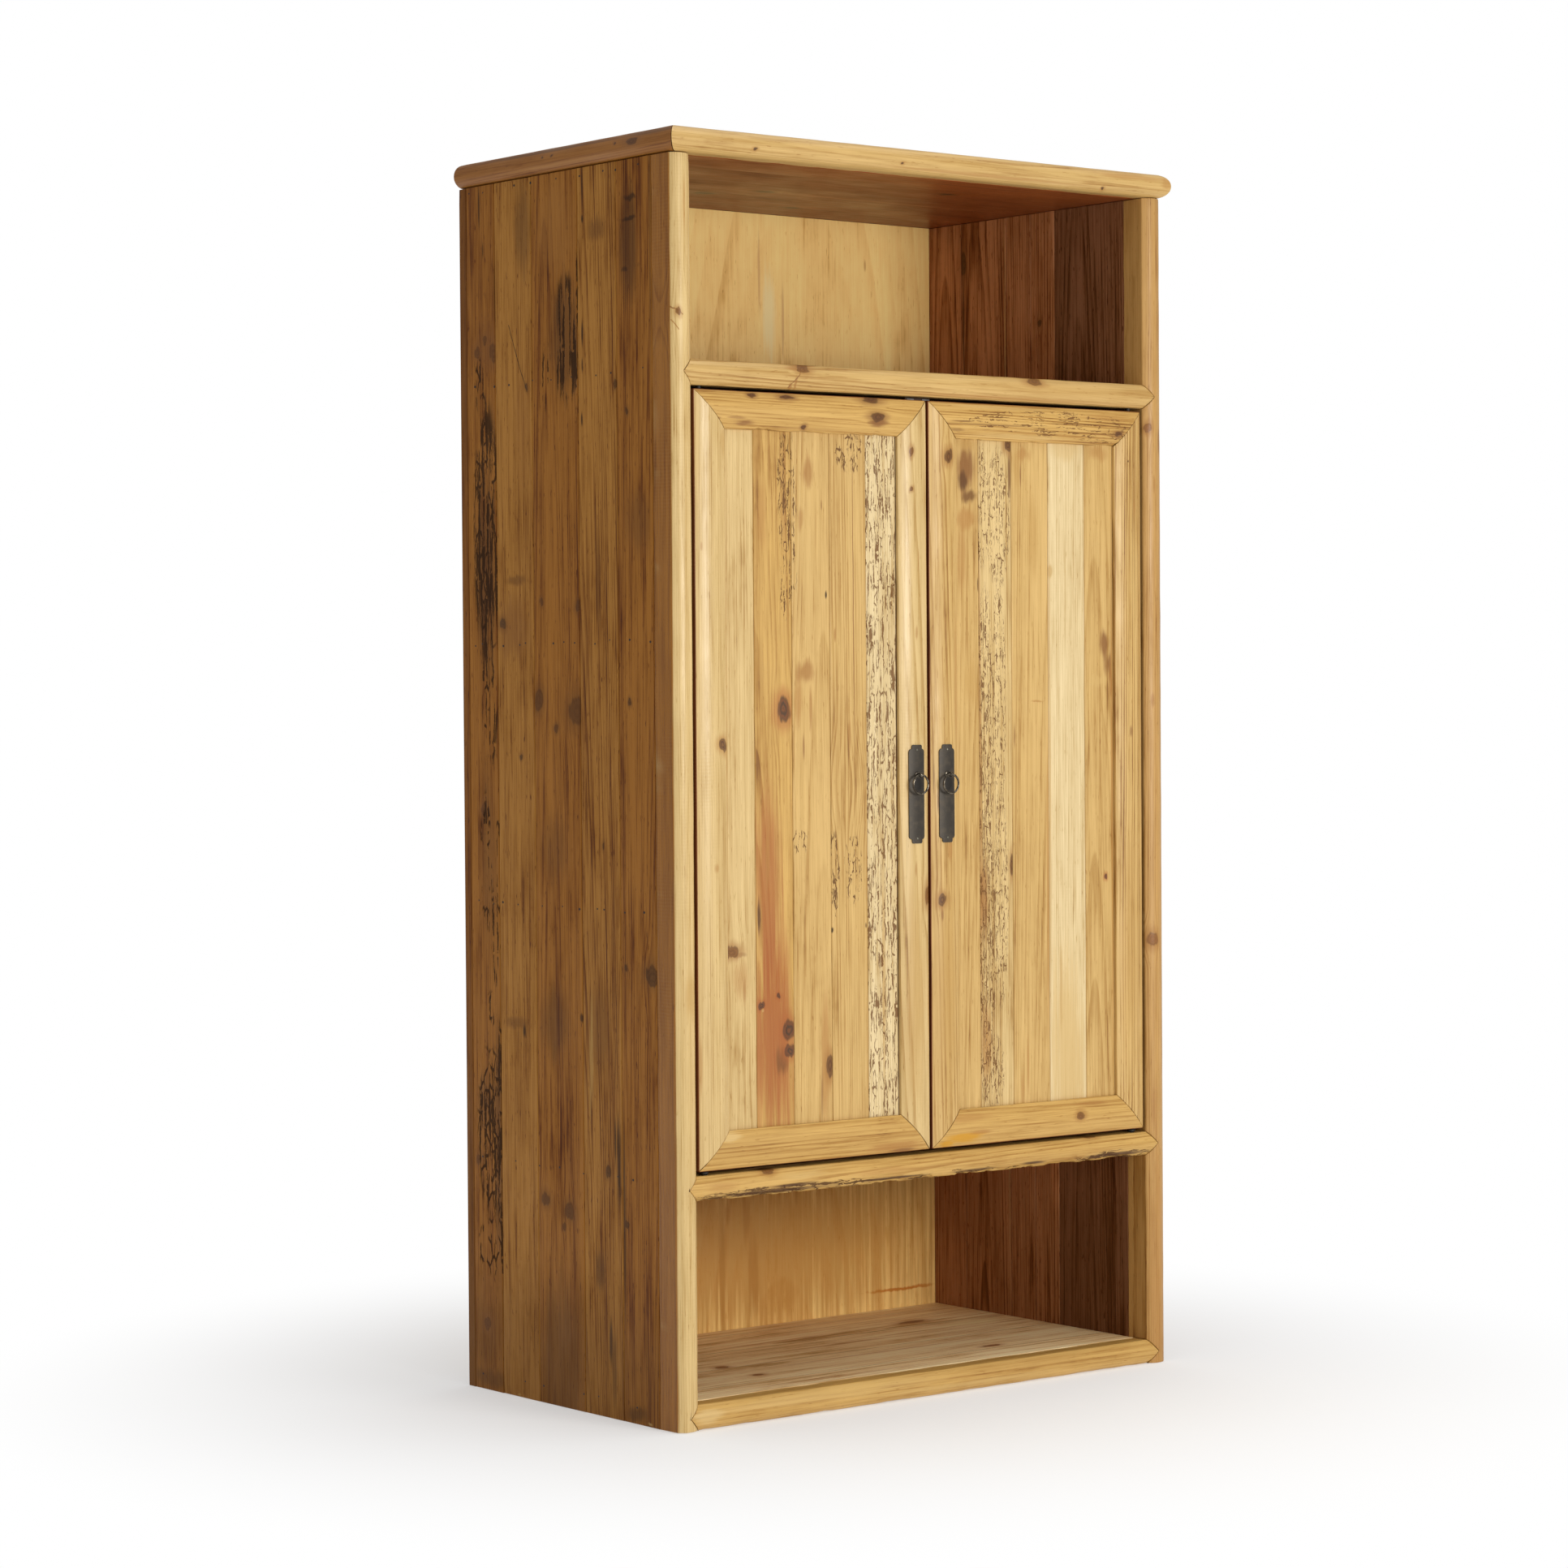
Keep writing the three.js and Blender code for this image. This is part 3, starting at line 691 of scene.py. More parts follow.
def old_pine(node, along, across, code, **changes):
    """Waxed pine for one board, with that board's own figure and marks."""
    options = {**PLAIN_BOARD, **changes}
    finish = bpy.data.materials.new(node + "_pine")
    finish.use_nodes = True
    bench = Bench(finish.node_tree)
    wide, long, deep, grain = board_axes(bench, along, across)
    luck = random.Random(node)
    offset = [luck.uniform(-60, 60) for _ in range(3)]
    place = bench.vector("ADD", grain, offset)
    planks = None
    if options["plank"]:
        shift, planks = split_planks(bench, wide, options["plank"])
        place = bench.vector("ADD", place, shift)
    shake = bench.cloud(place, (55.0, 16.0, 55.0), 3.0, 0.65, "Color")
    shake = bench.vector("SUBTRACT", shake, (0.5, 0.5, 0.5))
    ragged = bench.vector("MULTIPLY_ADD", shake, (9 * MM, 26 * MM, 0.0), grain)
    neat = bench.vector("MULTIPLY_ADD", shake, (2.5 * MM, 9 * MM, 0.0), grain)
    nearest, bent = part_round_knots(
        bench, grain, ragged, wide, options["knots"], options["swirls"]
    )
    lowest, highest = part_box(node)
    through = next(axis for axis in "xyz" if axis not in (along, across))
    middle = (lowest + highest)["xyz".index(across)] / 2 / MM
    surface = (lowest if options["face"] < 0 else highest)["xyz".index(through)] / MM
    pith = (middle + options["pith"][0], surface - options["face"] * options["pith"][1])
    late = growth_rings(
        bench, bent, long, deep, place, pith, options["lean"], options["ring"], options["sway"]
    )
    places = (place, grain, ragged, neat)
    flanks = []
    for face, flank_code in options["flanks"]:
        letter = across if face[1:] == "across" else through
        corner = lowest if face[0] == "-" else highest
        edge = corner["xyz".index(letter)]
        inward = 1 if face[0] == "-" else -1
        flanks.append(("X" if face[1:] == "across" else "Z", edge, inward, flank_code))
    return coat_board(
        bench, finish, options, code, places, late, nearest, long, planks, flanks
    )


# %% [markdown]
# Some faces of a board are finished unlike its front: the stained flank of a post, and
# the edges of a door that face its gaps, which are painted dark as painted shade of
# those gaps. Such a face is named by its side of the board's own box, and the paint
# fades in just inside it, so it follows the board wherever the frame puts it.
# %% Colour, dullness and relief
FLANK_DEPTH = 1.8
FLANK_FADE = (2.2, 0.5)
RIPPLE_STEP = 5.5


def coat_board(bench, finish, options, code, places, late, nearest, long, planks, flanks):
    place, grain, ragged, neat = places
    level, fibre, patch, streaky = tone_level(bench, place, late, options)
    stops = {"stops": shades(code, options["depth"])}
    colour = bench.lay("ValToRGB", stops, {0: level}, "Color")
    colour = lay_stains(bench, colour, ragged, neat, streaky, options["stains"])
    colour = lay_scratches(bench, colour, neat, options["scratches"])
    for axis, edge, inward, flank_code in flanks:
        towards = bench.lay("SeparateXYZ", {}, {0: grain}, axis)
        start, end = (edge + inward * inset * MM for inset in FLANK_FADE)
        stops = {"stops": shades(flank_code, FLANK_DEPTH)}
        aged = bench.lay("ValToRGB", stops, {0: level}, "Color")
        colour = bench.mix(bench.rise(towards, start, end), colour, aged)
    if planks:
        luck, joint = planks
        darker = shifted(tone(code), 0.62, 0.52, 0.42)
        colour = bench.mix(luck * 0.5, colour, darker)
        colour = bench.mix(joint * 0.8, colour, tone(GLUE_BROWN))
    height = late * 0.10 + fibre * 0.22 + streaky * 0.2 + patch * 0.9
    dull = options["sheen"] + patch * 0.5 + fibre * 0.3
    if options["ripple"]:
        waves = (long * (2 * math.pi / (RIPPLE_STEP * MM)) + patch * 9.0).math("SINE")
        waves = waves * bench.rise(patch, -0.08, 0.1)
        height = height + waves * (0.05 * options["ripple"])
        colour = bench.mix((waves + 1.0) * (0.05 * options["ripple"]), colour, shades(code)[2][1])
    if nearest:
        core_tone, halo_tone = tone(options["core"]), tone(options["halo"])
        bold = options["bold"]
        colour, core = lay_knots(bench, colour, nearest, streaky, core_tone, halo_tone, bold)
        height = height + core * 0.2
    if options["tracks"]:
        etched = worm_tracks(bench, grain, options["tracks"], options["coarse"])
        colour = bench.mix(etched * 0.88, colour, tone(options["tunnel"]))
        height = height - etched * 0.9
        dull = dull + etched * 0.3
    relief = {"Strength": 0.7, "Distance": MM, "Height": height}
    surface = {
        "Base Color": colour,
        "Roughness": dull,
        "Normal": bench.lay("Bump", {}, relief),
        "Specular IOR Level": options["shine"],
    }
    bench.lay("OutputMaterial", {}, {0: bench.lay("BsdfPrincipled", {}, surface)})
    return finish


print("old pine ready")

# %% [markdown]
# ## The posts and rails
# The front of the carcass is a frame of round-fronted bars. The posts run to the
# floor, and each rail ends in a point let into them. They are the cleanest wood on
# the cabinet, so they need long plain figure, a few knots, and faces that wander just
# enough for the wax to catch the light unevenly.
# %% Front posts
POSTS = {
    "left_front_post": dict(
        code=STRAW_PINE, flanks=[("-across", BROWN_STAIN)], pith=(-60, 25), ring=3.8, figure=0.55,
        ripple=0.7, sheen=0.32, shine=0.22, knots=[(-503, 1716, 4, 5)],
        swirls=[(-500, 1714, 15, 18)],
        scratches=[
            ((-514, 1724), (-496, 1714), 1.4, RUSSET), ((-513, 1704), (-503, 1690), 1.1, TAN),
        ],
        core=UMBER, halo=GINGER,
        stains=[
            (-488, 670, 16, 40, WAX, 0.5), (-497, 1706, 14, 44, CREAM, 0.6),
            (-492, 1880, 3, 50, GINGER, 0.5),
        ],
    ),
    "right_front_post": dict(
        code=TOAST_PINE, flanks=[("+across", BROWN_STAIN)], pith=(80, 20), ring=3.6, figure=0.7,
        knots=[(487, 716, 9, 11), (482, 1575, 6, 8)], core=RUSSET, halo=TAN,
        stains=[
            (507, 1552, 5, 26, RUSSET, 0.6), (493, 1480, 3, 16, TAN, 0.5),
            (488, 1118, 4, 14, TAN, 0.55), (488, 430, 6, 60, TAN, 0.4),
            (495, 130, 20, 260, GINGER, 0.45),
        ],
    ),
}
for node, choice in POSTS.items():
    finish = old_pine(node, "z", "x", **choice)
    worked(node, finish, "z", step=18, ease=1.2, wear=0.7, wave=0.35)
print("posts:", list(POSTS))

# %% [markdown]
# The lower rail is the roughest piece of all: worm and damp have eaten its lower edge
# into a dark broken line. That edge is really cut away here, so it shows in outline,
# and the wood laid bare behind it is stained dark. The other two rails are sound.
# %% Front rails
RAILS = {
    "upper_rail": dict(
        code=HONEY_PINE, pith=(-10, 60), lean=(2, 9), ring=3.2, figure=0.9,
        knots=[(1640, -258, 7, 12), (1641, 228, 6, 15)],
        scratches=[
            ((1642, -262), (1630, -268), 1.2, RUSSET), ((1630, -268), (1610, -288), 1.2, RUSSET),
        ],
        core=UMBER, halo=TAN,
        stains=[
            (1618, -274, 14, 3, TAN, 0.7), (1611, -284, 8, 4, TAN, 0.7),
            (1641, -270, 5, 30, GINGER, 0.6), (1612, 160, 3, 330, GINGER, 0.5),
            (1625, 300, 20, 200, WAX, 0.35),
        ],
    ),
    "lower_rail": dict(
        code=AMBER_PINE, pith=(14, 50), lean=(3, 12), ring=3.6, figure=0.9, mottle=0.7,
        streak=0.7, knots=[(390, -338, 5, 11), (394, 345, 3, 14)], core=UMBER, halo=TAN,
        tracks=[
            (362, -290, 9, 200, 1.4, 0.4), (360, 60, 6, 140, 1.0, 0.3),
            (362, 400, 9, 90, 1.4, 0.3),
        ],
        tunnel=BARK,
        stains=[
            (358, -330, 5, 150, BARK, 0.9), (365, -290, 3, 60, BARK, 0.9),
            (359, -90, 3, 80, BARK, 0.9), (372, -100, 6, 80, GINGER, 0.45),
            (358, 90, 3, 60, BARK, 0.8), (360, 215, 3, 34, BARK, 0.9),
            (360, 400, 4, 85, BARK, 0.9), (394, 345, 2, 26, BARK, 0.8),
            (372, -430, 10, 40, GINGER, 0.4), (380, -270, 8, 70, STRAW, 0.6),
        ],
    ),
    "bottom_rail": dict(
        code=AMBER_PINE, pith=(-30, 40), lean=(1, 6), ring=4.5, figure=0.6, mottle=0.6,
        stains=[
            (28, -180, 12, 260, STRAW, 0.4), (12, 60, 6, 200, STRAW, 0.5),
            (32, 190, 10, 170, WAX, 0.4), (20, -460, 14, 30, CREAM, 0.5),
        ],
    ),
}
BROKEN = {"lower_rail": (2, -1, 2.8), "bottom_rail": (2, -1, 1.0)}
for node, choice in RAILS.items():
    finish = old_pine(node, "x", "z", **choice)
    broken = BROKEN.get(node)
    step = 5 if node == "lower_rail" else 16
    worked(node, finish, "x", step, 1.2, 0.7, 0.3, broken)
print("rails:", list(RAILS))

# %% [markdown]
# ## The sides
# Each side is five old boards of uneven width, glued edge to edge and stained a
# darker brown than the front. The left side carries most of the cabinet's history:
# a rear board eaten by beetles from top to bottom, blue-grey knots, black slots where
# old nails were pulled, and a weathered patch of short black streaks.
# %% Left side boards
SIDE_WEAR = {
    "sheen": 0.5,
    "shine": 0.12,
    "depth": 1.7,
    "bold": 0.7,
    "streak": 0.85,
    "mottle": 0.75,
    "fibre": 1.1,
    "grime": 0.6,
    "fleck": 2.5,
}
LEFT_SIDE = {
    "left_side_board_5": dict(
        code=BROWN_STAIN, pith=(90, 30), ring=3.0, figure=0.7,
        knots=[
            (198, 1689, 13, 16), (224, 1712, 6, 7), (245, 1691, 8, 9), (239, 949, 8, 9),
            (238, 107, 9, 11), (262, 377, 7, 8),
        ],
        core=BARK, halo=RUSSET, coarse=1.9,
        tracks=[
            (240, 1640, 22, 50, 0.9, 0.5), (226, 1400, 42, 230, 1.65, 0.6),
            (222, 1130, 24, 120, 1.0, 0.3), (198, 860, 9, 150, 1.3, 0.4),
            (236, 870, 18, 120, 0.8, 0.3), (216, 740, 14, 90, 1.0, 0.2),
            (226, 600, 20, 60, 0.6, 0.5), (228, 430, 42, 150, 1.3, 0.9),
            (198, 400, 13, 240, 1.8, 0.5), (228, 240, 44, 50, 0.4, 0.9),
        ],
        tunnel=SOOT,
        stains=[
            (238, 1925, 3, 45, SOOT, 0.8), (228, 1855, 2, 18, SOOT, 0.8),
            (196, 1780, 3, 60, BARK, 0.5), (215, 1700, 50, 60, RUSSET, 0.45),
            (226, 1330, 34, 190, BARK, 0.6), (202, 400, 14, 230, BARK, 0.5),
            (226, 880, 26, 160, UMBER, 0.45), (240, 470, 30, 60, UMBER, 0.5),
            (225, 20, 70, 16, BARK, 0.5), (240, 90, 40, 60, UMBER, 0.4),
        ],
    ),
    "left_side_board_4": dict(
        code=LIGHT_STAIN, pith=(-80, 25), ring=3.4, figure=0.7, ripple=0.6,
        knots=[(180, 1249, 8, 8), (130, 1036, 4, 4), (107, 1624, 4, 5)],
        scratches=[
            ((156, 1728), (134, 1676), 1.3, SOOT), ((134, 1676), (106, 1618), 1.3, SOOT),
        ],
        core=INK, halo=UMBER,
        stains=[
            (127, 594, 5, 13, SOOT, 0.85), (150, 1240, 50, 60, RUSSET, 0.5),
            (140, 1318, 34, 10, UMBER, 0.6), (115, 1880, 28, 90, BARK, 0.5),
            (118, 1560, 26, 120, TAN, 0.4), (150, 4, 5, 3, WAX, 0.8),
            (150, 605, 40, 10, UMBER, 0.5),
        ],
    ),
    "left_side_board_3": dict(
        code=BROWN_STAIN, pith=(20, 45), lean=(3, 14), ring=4.2, figure=0.8,
        knots=[
            (70, 1281, 4, 6), (-32, 1273, 8, 8), (-24, 1110, 20, 22), (80, 1126, 12, 15),
            (32, 1082, 6, 6), (72, 328, 10, 9), (7, 313, 12, 13), (21, 290, 4, 5),
        ],
        core=BARK, halo=UMBER, coarse=2.2,
        tracks=[
            (0, 1700, 40, 110, 1.5, 0.0), (-30, 1690, 10, 150, 1.3, 0.0),
            (50, 1640, 20, 60, 0.8, 0.0),
        ],
        tunnel=SOOT,
        stains=[
            (5, 1700, 50, 105, BARK, 0.6), (16, 1738, 8, 44, SOOT, 0.4),
            (-38, 1740, 3, 60, BARK, 0.7), (34, 60, 70, 150, BARK, 0.5),
            (-30, 625, 6, 10, SOOT, 0.8), (40, 610, 44, 70, BARK, 0.5),
            (40, 890, 46, 60, UMBER, 0.4), (20, 1870, 60, 90, TAN, 0.5),
        ],
    ),
    "left_side_board_2": dict(
        code=LIGHT_STAIN, pith=(60, 60), lean=(6, 22), ring=4.4, figure=1.0, ripple=0.5,
        streak=1.0, knots=[(-134, 1617, 4, 8), (-93, 895, 3, 6), (-99, 386, 6, 9)], core=SOOT,
        halo=UMBER,
        stains=[
            (-49, 1930, 2, 40, SOOT, 0.95), (-49, 1880, 3, 8, SOOT, 0.95),
            (-47, 1700, 3, 26, SOOT, 0.9), (-46, 1650, 2, 14, SOOT, 0.9),
            (-44, 1565, 3, 14, SOOT, 0.9), (-128, 400, 6, 85, SOOT, 0.8),
            (-118, 440, 3, 50, SOOT, 0.8), (-103, 120, 5, 44, SOOT, 0.9),
            (-112, 80, 8, 70, BARK, 0.6), (-75, 230, 16, 40, BARK, 0.6),
            (-78, 610, 34, 80, UMBER, 0.5), (-85, 1310, 8, 90, UMBER, 0.6),
            (-86, 1860, 26, 20, UMBER, 0.6), (-56, 560, 6, 110, WAX, 0.6),
        ],
    ),
    "left_side_board_1": dict(
        code=BROWN_STAIN, pith=(-60, 50), lean=(4, 18), ring=4.0, figure=0.9, streak=1.0,
        knots=[
            (-163, 1572, 4, 5), (-165, 1121, 4, 5), (-150, 708, 4, 5), (-148, 309, 5, 6),
            (-220, 700, 18, 14),
        ],
        core=SOOT, halo=UMBER,
        stains=[
            (-170, 1830, 26, 110, BARK, 0.7), (-175, 1900, 20, 6, SOOT, 0.7),
            (-172, 1868, 22, 4, SOOT, 0.7), (-160, 1790, 10, 5, SOOT, 0.6),
            (-226, 1940, 4, 400, BARK, 0.5), (-190, 1400, 40, 60, UMBER, 0.5),
            (-141, 300, 4, 200, SOOT, 0.7), (-170, 15, 30, 14, SOOT, 0.6),
            (-205, 5, 7, 3, STRAW, 0.7),
        ],
    ),
}
SIDE_TRIM = {
    "left_rear_post": dict(
        stains=[(286, 200, 40, 420, UMBER, 0.5), (286, 1750, 40, 320, UMBER, 0.4)],
        code=DEEP_STAIN, pith=(60, 30), ring=3.0, figure=0.8,
    ),
}
# A darker, warmer band along the foot of the left side is painted shade, set against the pale
# light the floor throws up.
FOOT_SHADE = (0, 40, 700, 180, FOOT_SHADE_BROWN, 0.35)
for node, choice in {**LEFT_SIDE, **SIDE_TRIM}.items():
    choice = {**SIDE_WEAR, **choice}
    choice["stains"] = [*choice.get("stains", ()), FOOT_SHADE]
    finish = old_pine(node, "z", "y", **choice)
    worked(node, finish, "z", step=22, ease=0.8, wear=0.5)
print("left side boards:", len(LEFT_SIDE))

# %% [markdown]
# The right side is seen mostly from within, through the open bays, where the boards
# are a dark reddish brown with golden lines of late wood. They get the same finish
# as the left side in darker and redder tones, with the pith close behind the face,
# so that tall arches show. Their outer faces are stained like the left side's.
# %% Right side boards
RIGHT_SIDE = {
    "right_side_board_1": dict(
        code=SHADED_STAIN, pith=(20, 45), lean=(4, 20), ring=5.0, shade=0.1,
    ),
    "right_side_board_2": dict(
        code=RED_STAIN, pith=(-50, 40), ring=4.4, knots=[(-20, 1770, 5, 6), (40, 905, 6, 7)],
    ),
    "right_side_board_3": dict(code=RED_STAIN, pith=(60, 50), ring=4.0, streak=0.8),
    "right_side_board_4": dict(
        code=RED_STAIN, pith=(10, 35), lean=(6, 24), ring=6.0, figure=1.2,
        knots=[(178, 1890, 7, 20), (118, 1250, 9, 10)],
        stains=[(70, 1000, 3, 990, CREAM, 0.75), (180, 1780, 3, 120, SOOT, 0.7)],
    ),
    "right_side_board_5": dict(
        code=RED_STAIN, pith=(-10, 35), lean=(4, 18), ring=5.0, figure=1.1, streak=0.7,
    ),
    "right_rear_post": dict(code=LIGHT_STAIN, pith=(60, 30), ring=3.0),
}
OUTER_TONES = {
    "right_side_board_1": BROWN_STAIN,
    "right_side_board_2": LIGHT_STAIN,
    "right_side_board_3": LIGHT_STAIN,
    "right_side_board_4": LIGHT_STAIN,
    "right_side_board_5": BROWN_STAIN,
    "right_rear_post": DEEP_STAIN,
}
# A darker band low on the right side's boards, seen on their inner faces in the bays, is painted
# shade.
BAY_FOOT_SHADE = (0, 120, 700, 260, BARK, 0.4)
for node, choice in RIGHT_SIDE.items():
    choice = {"core": SOOT, "halo": RUSSET, **SIDE_WEAR, **choice}
    choice["stains"] = [*choice.get("stains", ()), BAY_FOOT_SHADE]
    choice["flanks"] = [("+through", OUTER_TONES[node])]
    finish = old_pine(node, "z", "y", **choice)
    worked(node, finish, "z", step=26, ease=0.8, wear=0.5)
print("right side boards:", len(RIGHT_SIDE))

# %% [markdown]
# ## Floor, shelves and top
# These are wide panels made of several planks. Modelling each plank is one way, but
# the planks are glued flat into one panel, so here the panel stays whole and the
# finish counts planks across it: each count shifts the noise along the grain, so the
# figure jumps at every joint, and a fine dark line marks the glue.
# %% Planked panels
PANELS = {
    # The floor's pale base is partly its own pale wood and partly painted light for the shaded
    # bottom bay.
    "floor_board": dict(
        code=PALE_AND_LIT_WOOD, plank=131, mottle=0.9, streak=0.9, depth=1.35, sheen=0.55,
        knots=[
            (-28, -240, 9, 12), (-122, -236, 7, 10), (-150, 236, 6, 16), (130, 300, 9, 24),
        ],
        core=RUSSET, halo=CLAY,
        stains=[
            (-78, 60, 4, 280, CLAY, 0.6), (118, -40, 6, 120, CLAY, 0.6),
            (30, 60, 8, 110, CLAY, 0.6), (-216, -150, 4, 240, CLAY, 0.6),
            (216, 260, 5, 200, CLAY, 0.5), (60, 380, 40, 70, BONE, 0.5),
        ],
    ),
    "lower_shelf": dict(code=SHELF_BROWN, plank=128, sheen=0.55),
    "upper_shelf": dict(code=SHELF_BROWN, plank=132, sheen=0.55),
    "lower_inner_shelf": dict(code=SHELF_BROWN, plank=125, sheen=0.55),
    "upper_inner_shelf": dict(code=SHELF_BROWN, plank=121, sheen=0.55),
}
for node, choice in PANELS.items():
    finish = old_pine(node, "x", "y", face=1, pith=(90, 60), lean=(4, 10), **choice)
    worked(node, finish, "x", step=30, ease=0.8, wear=0.4)
top_finish = old_pine(
    "top_panel", "x", "y", TOP_BROWN,
    flanks=[("+through", GINGER), ("+across", GINGER)], plank=118, pith=(80, 60), lean=(4, 12),
    mottle=0.8, streak=0.7,
    knots=[
        (100, -162, 11, 18), (28, -88, 9, 14), (175, 84, 7, 12), (-118, 180, 8, 12),
    ],
    core=SOOT, halo=UMBER, stains=[(28, 160, 5, 330, CLAY, 0.7), (-215, 120, 3, 300, BARK, 0.6)],
)
worked("top_panel", top_finish, "x", step=30, ease=0.8, wear=0.4)
print("planked panels:", len(PANELS) + 1)

# %% [markdown]
# ## The back
# One sheet of plywood closes the back, held by plain rails and posts behind it. Its
# pale tone is partly the plywood's own and partly painted light for the shaded bays.
# Rotary-cut veneer has broad washy figure and little shine, and this sheet has a pale
# water mark and an orange run of resin low down at the right. A dark band across the
# sheet under the lower rail is a painted shadow of that rail, and below it the sheet
# is painted a deeper orange.
# %% Plywood and rear rails
finish = old_pine(
    "back_panel", "z", "x", VENEER,
    flanks=[("+through", TOAST_PINE)], pith=(120, 500), lean=(30, 60), ring=13.0, sway=34,
    figure=0.45, streak=0.25, fibre=0.35, mottle=0.7, sheen=0.5,
    stains=[
        (110, 1790, 15, 85, BONE, 0.8), (140, 1780, 3, 70, CLAY, 0.5),
        (88, 1860, 3, 70, CLAY, 0.45), (325, 1885, 3, 12, GINGER, 0.6),
        (-8, 150, 12, 110, WAX, 0.75), (4, 240, 6, 26, GINGER, 0.6),
        (62, 130, 14, 80, GINGER, 0.65), (46, 240, 10, 60, GINGER, 0.55),
        (385, 73, 80, 3.5, ORANGE, 0.9), (440, 74, 40, 4, ORANGE, 0.6),
        # Next: a dark band across the sheet is a painted shadow of the lower rail, and below it
        # the sheet is painted a deeper orange.
        (466, 160, 6, 110, GINGER, 0.5), (0, 345, 700, 80, BARK, 0.8),
        (0, 180, 700, 200, OCHRE, 0.75),
    ],
)
worked("back_panel", finish, "z", step=400, ease=0.5, wear=0.0)
for node in ("rear_bottom_rail", "rear_top_rail"):
    finish = old_pine(node, "x", "z", TOAST_PINE, face=1, sheen=0.5)
    worked(node, finish, "x", step=40, ease=1.0, wear=0.4)
print("back closed")

# %% [markdown]
# ## The top mouldings
# A half-round moulding runs round the top and is mitred at its two front corners. The
# front one is golden and fine grained; the left one is in the darker side stain, with
# a dull lighter band where dust and hands have worn it.
# %% Mouldings
MOULDINGS = {
    "top_front_moulding": dict(
        along="x", across="z", code=HONEY_PINE, pith=(-20, 80), lean=(2, 10), ring=3.4,
        figure=0.8, knots=[(1973, -360, 2.5, 4), (1966, 374, 2.5, 3), (1974, -62, 2, 2.5)],
        core=SOOT, halo=GINGER,
        stains=[
            (1980, 260, 14, 220, STRAW, 0.5), (1990, 430, 8, 90, GINGER, 0.5),
            (1968, 120, 3, 260, GINGER, 0.5), (1985, 512, 12, 14, GINGER, 0.5),
        ],
    ),
    "top_left_moulding": dict(
        along="y", across="z", code=BROWN_STAIN, pith=(-10, 60), ring=3.2, figure=0.8, sheen=0.5,
        knots=[
            (1983, -192, 5, 14), (1985, -150, 2, 3), (1984, 20, 2, 3), (1985, 45, 2, 3),
        ],
        core=BARK, halo=RUSSET,
        stains=[
            (1994, 60, 4, 260, BARK, 0.6), (1970, 0, 4, 200, GINGER, 0.5),
            (1994, -240, 5, 80, BARK, 0.6),
        ],
    ),
    "top_right_moulding": dict(along="y", across="z", code=LIGHT_STAIN, face=1, sheen=0.5),
}
for node, choice in MOULDINGS.items():
    worked(node, old_pine(node, **choice), choice["along"], 16, 1.0, 0.6, 0.3)
print("mouldings:", list(MOULDINGS))

# %% [markdown]
# ## The door frames
# Each door is four round-fronted bars mitred like a picture frame. The mitres show
# as fine dark lines, so their edges are eased very little. Every bar was sawn from a
# different old board, and each one gets its own figure, knots and blemishes.
# %% Left door frame
# Each flank on these bars is an edge facing a door gap, painted dark as painted shade.
LEFT_FRAME = {
    "left_door_outer_stile": dict(
        flanks=[("-across", GAP_SHADE_BROWN)], code=STRAW_PINE, pith=(110, 20), ring=4.4, figure=0.6,
        ripple=0.8, sheen=0.32, knots=[(-421, 1055, 8, 9)], halo=GINGER,
        stains=[
            (-436, 864, 5, 10, GINGER, 0.5), (-466, 560, 4, 50, GINGER, 0.5),
            (-460, 1360, 3, 9, GINGER, 0.5), (-415, 1520, 8, 30, WAX, 0.5),
        ],
    ),
    "left_door_inner_stile": dict(
        flanks=[("+across", GAP_SHADE_BROWN)], code=STRAW_PINE, pith=(-20, 60), lean=(3, 14), ring=4.6,
        figure=0.8, ripple=0.6, sheen=0.32,
        knots=[(-38, 1519, 4, 6), (-38, 1457, 3, 4), (-4, 806, 8, 15)], core=UMBER, halo=TAN,
        stains=[
            (-25, 1346, 1.4, 26, TAN, 0.7), (-30, 1230, 3, 12, TAN, 0.5),
            (-34, 850, 3, 16, TAN, 0.5), (-4, 620, 4, 60, GINGER, 0.5),
            (-36, 650, 24, 220, WAX, 0.5),
        ],
    ),
    "left_door_top_rail": dict(
        flanks=[("+across", GAP_SHADE_BROWN)], code=AMBER_PINE, pith=(-30, 50), lean=(1, 12), ring=3.6,
        figure=0.8,
        knots=[
            (1596, -356, 4, 7), (1595, -290, 3, 11), (1599, -118, 5, 16), (1571, -108, 7, 12),
            (1550, -255, 4, 4.5),
        ],
        core=BARK, halo=RUSSET,
        stains=[
            (1552, -372, 6, 28, RUSSET, 0.75), (1563, -105, 7, 24, RUSSET, 0.8),
            (1547, -250, 5, 110, WAX, 0.7), (1560, -390, 3, 20, RUSSET, 0.5),
            (1557, -425, 3, 6, RUSSET, 0.6),
        ],
    ),
    "left_door_bottom_rail": dict(
        flanks=[("-across", GAP_SHADE_BROWN)], code=AMBER_PINE, pith=(-90, 70), lean=(4, 16), ring=6.5,
        figure=0.8,
        stains=[
            (408, -75, 9, 60, GINGER, 0.7), (402, -60, 3, 30, RUSSET, 0.7),
            (448, -415, 10, 30, CREAM, 0.5),
        ],
    ),
}


def make_door_frame(frame_boards):
    for node, choice in frame_boards.items():
        upright = node.endswith("stile")
        along, across = ("z", "x") if upright else ("x", "z")
        broken = (2, -1, 2.0) if node.endswith("top_rail") else None
        step = 9 if broken else 16
        finish = old_pine(node, along, across, **choice)
        worked(node, finish, along, step, 0.6, 0.5, 0.25, broken)


make_door_frame(LEFT_FRAME)
print("left frame:", list(LEFT_FRAME))
